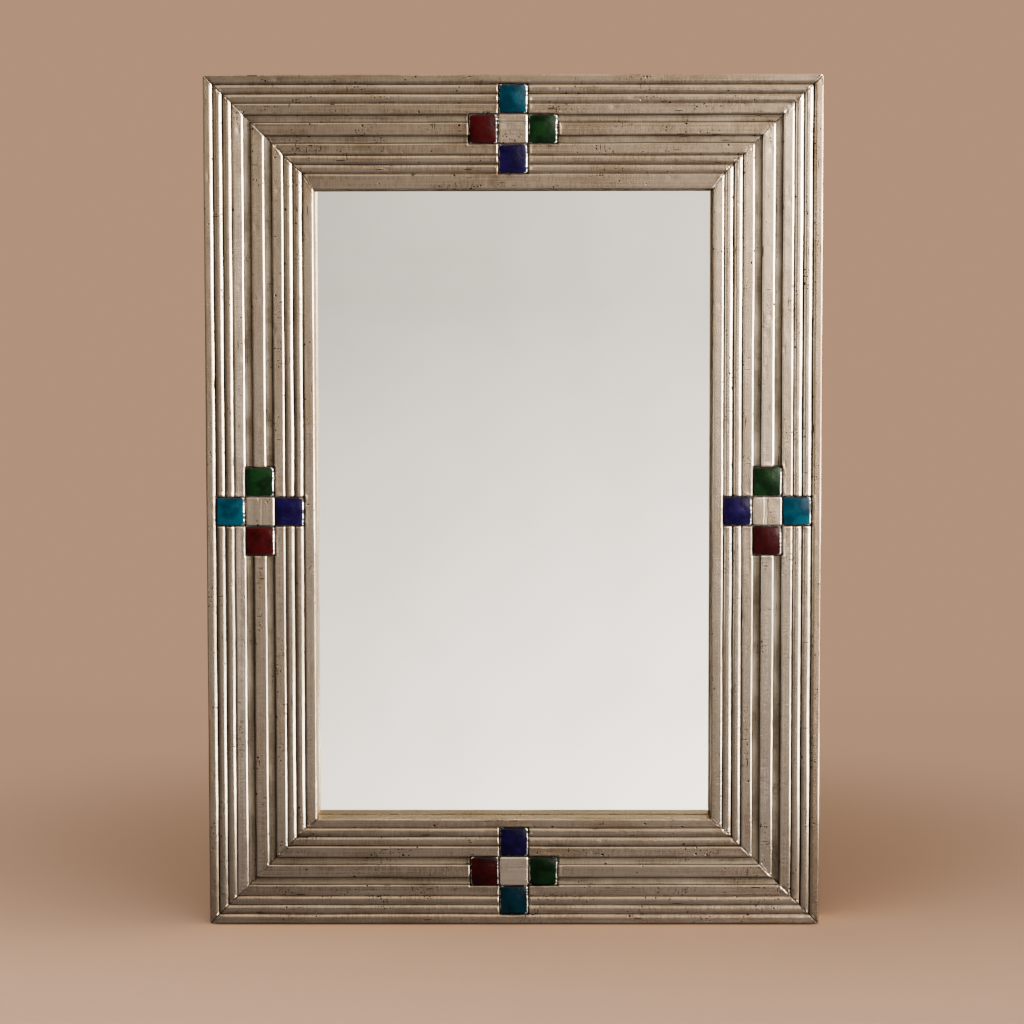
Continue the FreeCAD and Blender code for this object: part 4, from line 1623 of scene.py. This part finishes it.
    def build_tile(self, enamel: Enamel, glaze: bpy.types.Material, number: int) -> bpy.types.Object:
        """Makes one pillowed tile.

        Args:
            enamel: its colour.
            glaze: its finish.
            number: its place in the cross.

        Returns:
            The piece.
        """
        first, gap = self.tile_seeds
        seed = self.seed + first + gap * number
        a, b, v, inset = self.tile.grid()
        jogs = [self.uneven * self.ripple(seed + k, self.uneven_pitch, a, b) for k in (1, 2)]
        swell = self.swell * self.ripple(seed + 3, self.swell_pitch, a, b)
        v = v + swell * np.clip(inset / self.swell_from, 0.0, 1.0)
        angle = np.random.default_rng(seed).uniform(-self.askew, self.askew)
        a, b = self.turned(a + jogs[0], b + jogs[1], angle)
        name = f"{self.member.side.value}_{enamel.value}"
        piece, rim = self.placed(self.tile, self.plan.cell(enamel), a, b, v, f"{name}_glazed_tile", glaze)
        # grime and painted shade at the rim, read by the glaze as rim
        dark = np.clip(1.0 - inset.ravel() / self.rim_grime_and_shade, 0.0, 1.0)
        shade = np.full(a.size, self.shades.get((self.member.side, enamel), 0.0))
        worn = dark * self.bare(piece, a.size)
        for trait, values in (("rim", dark), ("worn", worn), ("shade", shade)):
            Bench.carry(piece, trait, values, rim)
        Bench.seat(piece, f"{name}_tile", f"{enamel.value}_glaze")
        return piece

    def build_plate(self, tin: bpy.types.Material) -> bpy.types.Object:
        """Makes the creased tin cap of the middle square.

        Args:
            tin: its finish.

        Returns:
            The piece.
        """
        seed = self.seed + self.plate_seed
        a, b, v, inset = self.plate.grid()
        inner = np.clip(inset / self.wave_from, 0.0, 1.0)
        v = v + self.wave * self.ripple(seed + 1, self.wave_pitch, a, b) * inner
        half = self.plate.side / 2
        soil = np.zeros_like(v)
        for share, start, deep in self.creases[self.member.side]:
            line = np.full(b.shape, share * half)
            bent = Ripple(seed + 2, *self.crease_pitch).at(a + self.ripple_shift, line)
            off = b - line - self.crease_wander * bent
            along = deep * np.clip((a / half - start) / self.crease_start, 0.0, 1.0) * inner
            v = v + self.crease * np.exp(-(off / self.crease_width) ** 2) * along
            soil = np.maximum(soil, np.exp(-(off / self.crease_dark_width) ** 2) * along)
        name = f"{self.member.side.value}_centre"
        cell = (self.plan.middle, self.plan.centre)
        piece, rim = self.placed(self.plate, cell, a, b, v, f"{name}_tin_cap", tin)
        # the rim goes near black, grime with painted shade, and the creases darken too
        edge = np.clip(1.0 - inset.ravel() / self.plate_rim_grime_and_shade, 0.0, 1.0)
        traits = {
            "grain": grain_of(a, b, seed, PLATE_GRAIN),
            "soil_and_shade": np.maximum(edge, np.minimum(soil.ravel() * 1.3, 0.97)),
            "across": np.broadcast_to(self.member.inward, (a.size, 3)),
            "seam": np.zeros(a.size),
            "stain": np.full(a.size, self.painted_plate_light[self.member.side]),
        }
        for trait, values in traits.items():
            Bench.carry(piece, trait, values, rim)
        Bench.seat(piece, f"{name}_plate", "aged_tin")
        return piece

    def build(self, glazes: dict[Enamel, bpy.types.Material],
              tin: bpy.types.Material) -> list[bpy.types.Object]:
        """Makes the cross.

        Args:
            glazes: the glaze of each colour.
            tin: the plate's tin.

        Returns:
            The tiles and the plate.
        """
        made = [self.build_tile(enamel, glazes[enamel], number) for number, enamel in enumerate(Enamel)]
        return [*made, self.build_plate(tin)]


@dataclass(frozen=True)
class MirrorPack:
    """The glass with its silvering, and the boards that close the back."""

    silver: float = 0.10 * MM
    film_gap: float = 0.02 * MM
    arris: float = 0.6 * MM

    def slab(self, name: str, low: Sequence[float], high: Sequence[float], arris: float,
             finish: bpy.types.Material) -> bpy.types.Object:
        """Makes a sheet with eased edges.

        Args:
            name: the piece's name.
            low: its lowest corner.
            high: its highest corner.
            arris: how much its edges are eased.
            finish: its material.

        Returns:
            The piece.
        """
        shape = bmesh.new()
        bmesh.ops.create_cube(shape, size=1.0)
        for vert in shape.verts:
            vert.co = [b if c > 0 else a for a, b, c in zip(low, high, vert.co)]
        bmesh.ops.bevel(shape, geom=shape.edges[:], offset=arris, segments=2, profile=0.5, affect="EDGES")
        mesh = bpy.data.meshes.new(name)
        shape.to_mesh(mesh)
        shape.free()
        mesh.materials.append(finish)
        made = bpy.data.objects.new(name, mesh)
        bpy.context.scene.collection.objects.link(made)
        return made

    def build(self, glass: bpy.types.Material, silver: bpy.types.Material) -> list[bpy.types.Object]:
        """Makes the glass and the silvering behind it.

        Args:
            glass: the clear glass.
            silver: the silvering.

        Returns:
            The two pieces.
        """
        low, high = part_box("mirror_glass")
        rear = high.y - self.silver
        front = (high.x, rear - self.film_gap, high.z)
        clear = self.slab("mirror_clear_glass", low, front, self.arris, glass)
        coat = self.slab("mirror_silvering", (low.x, rear, low.z), high, self.silver / 4, silver)
        for piece in (clear, coat):
            Bench.seat(piece, "mirror_glass", "mirror_silver")
        return [clear, coat]

    def dress(self, card: bpy.types.Material, hardboard: bpy.types.Material) -> None:
        """Finishes the two boards behind the glass."""
        Bench.dress("cushion_board", card)
        Bench.dress("back_panel", hardboard)


@dataclass(frozen=True)
class BackWork:
    """The wood, splines, turn buttons, hangers, tacks and bumpers behind the frame."""

    rail_grain: Triple = (1.0, 0.0, 0.0)
    stile_grain: Triple = (0.0, 0.0, 1.0)

    def dress(self) -> None:
        """Finishes every node of the back."""
        zinc = PlainSteel("zinc_steel", (0.56, 0.56, 0.55), (0.30, 0.29, 0.27)).material()
        tack = PlainSteel("tack_steel", (0.30, 0.27, 0.23), (0.12, 0.085, 0.06), 0.42).material()
        rubber = FootRubber().material()
        plywood = PressedBoard("spline_plywood", (0.44, 0.31, 0.18), (0.55, 0.41, 0.26)).material()
        rail = SawnWood("rail_wood", self.rail_grain).material()
        stile = SawnWood("stile_wood", self.stile_grain).material()
        finishes = {
            "_rail_core": rail, "_stile_core": stile, "_spline": plywood, "_turn_button": zinc,
            "_strap": zinc, "_ring": zinc, "_screws": zinc, "_tacks": tack, "_bumper": rubber,
        }
        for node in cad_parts:
            for ending, finish in finishes.items():
                if node.endswith(ending):
                    Bench.dress(node, finish)


@dataclass(frozen=True)
class Studio:
    """A floor with painted shade, an even warm backdrop, soft lights round the mirror and the camera."""

    backdrop: Triple = (0.565, 0.315, 0.190)
    behind: Triple = (0.42, 0.28, 0.20)
    left_side: Triple = (0.50, 0.42, 0.35)
    left_wall: Triple = (1.35, 1.15, 0.97)
    overhead: Triple = (0.34, 0.29, 0.28)
    ceiling: Triple = (2.5, 2.17, 1.90)
    floor_reach: float = 600.0
    panel_at: Triple = (1.55, -1.35, 1.30)
    panel_size: Pair = (2.5, 2.1)
    panel_power: float = 1150.0
    strip_at: Triple = (-1.5, -1.6, 0.95)
    strip_size: Pair = (0.9, 1.7)
    strip_power: float = 28.0
    cloud_at: Triple = (-0.25, -1.2, 2.8)
    cloud_size: Pair = (2.4, 2.4)
    cloud_power: float = 130.0
    low_left: Pair = (0.17, 1.4)
    low_right: Pair = (0.84, 2.0)
    low_ahead: Pair = (-1.35, -0.05)
    low_height: float = 4 * MM
    low_glow: float = 60.0
    rear_at: Triple = (0.5, 2.2, 1.5)
    rear_size: Pair = (2.2, 1.8)
    rear_power: float = 55.0
    lens: float = 101.95
    eye: Triple = (0.020, -EYE_DISTANCE, 0.675)
    tilt: Triple = (85.814, 0.07, 0.394)

    def floor(self) -> bpy.types.Object:
        """Lays the floor.

        Returns:
            The floor.
        """
        steps = np.geomspace(0.5, self.floor_reach, 24)
        steps = np.concatenate([-steps[::-1], steps])
        a, b = np.meshgrid(steps, steps, indexing="ij")
        points = np.stack([a.ravel(), b.ravel(), np.zeros(a.size)], -1)
        quads = Bench.quads(*a.shape).reshape(-1, 4)
        finish = StudioFloor().material(self.backdrop)
        ground = Bench.piece("studio_floor", points, quads.tolist(), finish)
        return ground

    def air(self) -> None:
        """Sets the light that comes from all round."""
        world = bpy.data.worlds.new("studio_air")
        bpy.context.scene.world = world
        mix = Recipe(world)
        side, back, up = mix.parts(mix.node("ShaderNodeTexCoord", {}).outputs["Generated"])
        skies = {name: mix.node("ShaderNodeBackground", {"Color": (*tone, 1.0)}) for name, tone in (
            ("backdrop", self.backdrop), ("behind", self.behind), ("left", self.left_side),
            ("wall", self.left_wall), ("over", self.overhead), ("ceiling", self.ceiling))}
        pale = [mix.node("ShaderNodeBackground", {
            "Color": (*glow.tint, 1.0), "Strength": glow.strength(mix, side)})
                for glow in (METAL_GLOW, MIRROR_GLOW)]
        path = mix.node("ShaderNodeLightPath", {}).outputs
        sky = mix.layer(path["Is Transmission Ray"], *pale)
        over = mix.layer(path["Is Glossy Ray"], skies["over"], skies["ceiling"])
        beside = mix.layer(path["Is Glossy Ray"], skies["left"], skies["wall"])
        sky = mix.layer(mix.span(side, -0.70, -0.20, 1.0, 0.0), sky, beside)
        sky = mix.layer(mix.span(back, -0.30, 0.10), sky, skies["behind"])
        sky = mix.layer(mix.span(up, 0.15, 0.60), sky, over)
        sky = mix.layer(path["Is Camera Ray"], sky, skies["backdrop"])
        mix.node("ShaderNodeOutputWorld", {"Surface": sky.outputs[0]})

    @staticmethod
    def lamp(name: str, at: Triple, turn: Triple, size: Pair, power: float) -> bpy.types.Object:
        """Hangs a soft light that the camera doesn't see.

        Args:
            name: its name.
            at: where it hangs.
            turn: how it is turned, in degrees.
            size: its width and height.
            power: its power in watts.

        Returns:
            The light.
        """
        data = bpy.data.lights.new(name, "AREA")
        data.shape = "RECTANGLE"
        data.size, data.size_y = size
        data.energy = power
        data.color = (1.0, 0.985, 0.96)
        lamp = bpy.data.objects.new(name, data)
        lamp.location = at
        lamp.rotation_euler = [math.radians(angle) for angle in turn]
        lamp.visible_camera = False
        bpy.context.scene.collection.objects.link(lamp)
        return lamp

    @staticmethod
    def only(lamp: bpy.types.Object, pieces: Sequence[bpy.types.Object]) -> None:
        """Lets a light reach some pieces alone.

        Args:
            lamp: the light.
            pieces: the pieces that it lights.
        """
        lit = bpy.data.collections.new(f"lit_by_{lamp.name}")
        for piece in pieces:
            lit.objects.link(piece)
        lamp.light_linking.receiver_collection = lit

    def lights(self, ground: bpy.types.Object, left: Sequence[bpy.types.Object],
               right: Sequence[bpy.types.Object]) -> None:
        """Hangs a tall panel, a strip, a low glow before each stile, a fill behind and a cloud above.

        Args:
            ground: the floor, which the panel doesn't light.
            left: the pieces of the left stile.
            right: the pieces of the right stile, which alone get the strip.
        """
        panel = self.lamp("right_panel", self.panel_at, (90.0, 0.0, 90.0), self.panel_size, self.panel_power)
        panel.visible_transmission = False
        flagged = bpy.data.collections.new("kept_off_the_panel")
        flagged.objects.link(ground)
        panel.light_linking.receiver_collection = flagged
        flagged.collection_objects[0].light_linking.link_state = "EXCLUDE"
        strip = self.lamp("left_strip", self.strip_at, (90.0, 0.0, -60.0), self.strip_size, self.strip_power)
        self.only(strip, right)
        near, far = self.low_ahead
        for name, (start, stop), stile in (("low_left", self.low_left, left),
                                           ("low_right", self.low_right, right)):
            at, size = ((start + stop) / 2, (near + far) / 2, self.low_height), (stop - start, far - near)
            power = self.low_glow * math.pi * size[0] * size[1]
            low = self.lamp(name, at, (180.0, 0.0, 0.0), size, power)
            low.visible_transmission = False
            self.only(low, stile)
        rear = self.lamp("rear_fill", self.rear_at, (-70.0, 0.0, -12.0), self.rear_size, self.rear_power)
        self.only(rear, [*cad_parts.values(), *left, *right])
        cloud = self.lamp("overhead_cloud", self.cloud_at, (0.0, 0.0, 0.0), self.cloud_size, self.cloud_power)
        cloud.visible_glossy = False

    def camera(self) -> None:
        """Stands the camera where the photograph was taken."""
        data = bpy.data.cameras.new("camera")
        data.sensor_width = 36.0
        data.lens = self.lens
        data.clip_end = 200.0
        eye = bpy.data.objects.new("camera", data)
        eye.location = self.eye
        eye.rotation_euler = [math.radians(angle) for angle in self.tilt]
        bpy.context.scene.collection.objects.link(eye)
        bpy.context.scene.camera = eye

    def build(self, left: Sequence[bpy.types.Object], right: Sequence[bpy.types.Object]) -> None:
        """Sets up the whole studio.

        Args:
            left: the pieces of the left stile.
            right: the pieces of the right stile.
        """
        ground = self.floor()
        self.air()
        self.lights(ground, left, right)
        self.camera()


def enamels() -> dict[Enamel, bpy.types.Material]:
    """The four glazes.

    Returns:
        The finish of each colour.
    """
    recipes = [
        FiredGlaze(Enamel.TEAL, deep=(0.0001, 0.0037, 0.0063), clear=(0.0003, 0.0084, 0.0124),
                   veil=(0.004, 0.013, 0.016)),
        FiredGlaze(Enamel.COBALT, deep=(0.0005, 0.0001, 0.0030), clear=(0.0012, 0.0003, 0.0068),
                   veil=(0.0042, 0.0032, 0.0096)),
        FiredGlaze(Enamel.RED, deep=(0.0028, 0.0001, 0.0001), clear=(0.0063, 0.0002, 0.0003),
                   veil=(0.0075, 0.0015, 0.0015)),
        FiredGlaze(Enamel.GREEN, deep=(0.0002, 0.0013, 0.0002), clear=(0.0006, 0.0040, 0.0008),
                   veil=(0.003, 0.006, 0.0024)),
    ]
    return {recipe.enamel: recipe.material() for recipe in recipes}


def main() -> None:
    """Builds the mirror's pieces in order and sets them in the studio."""
    logging.basicConfig(level=logging.INFO, format="%(message)s")
    tin = AgedTin().material()
    glazes = enamels()
    made: dict[Side, list[bpy.types.Object]] = {}
    for number, member in enumerate(Member.all()):
        seed = 100 * (number + 1)
        moulding, plan = Moulding(inner_band=member.inner_band), CrossPlan(member.cross_at)
        sheath = TinSheath(member, moulding, plan, seed).build(tin)
        made[member.side] = [sheath, *TileCross(member, plan, seed).build(glazes, tin)]
    pack = MirrorPack()
    pack.build(ClearGlass().material(), SilverCoat().material())
    card = PressedBoard("cushion_card", (0.42, 0.37, 0.30), (0.52, 0.47, 0.39), 500.0)
    board = PressedBoard("panel_hardboard", (0.155, 0.085, 0.042), (0.215, 0.125, 0.065), 900.0, 0.5)
    pack.dress(card.material(), board.material())
    BackWork().dress()
    Studio().build(made[Side.LEFT], made[Side.RIGHT])


if __name__ == "__main__":
    main()
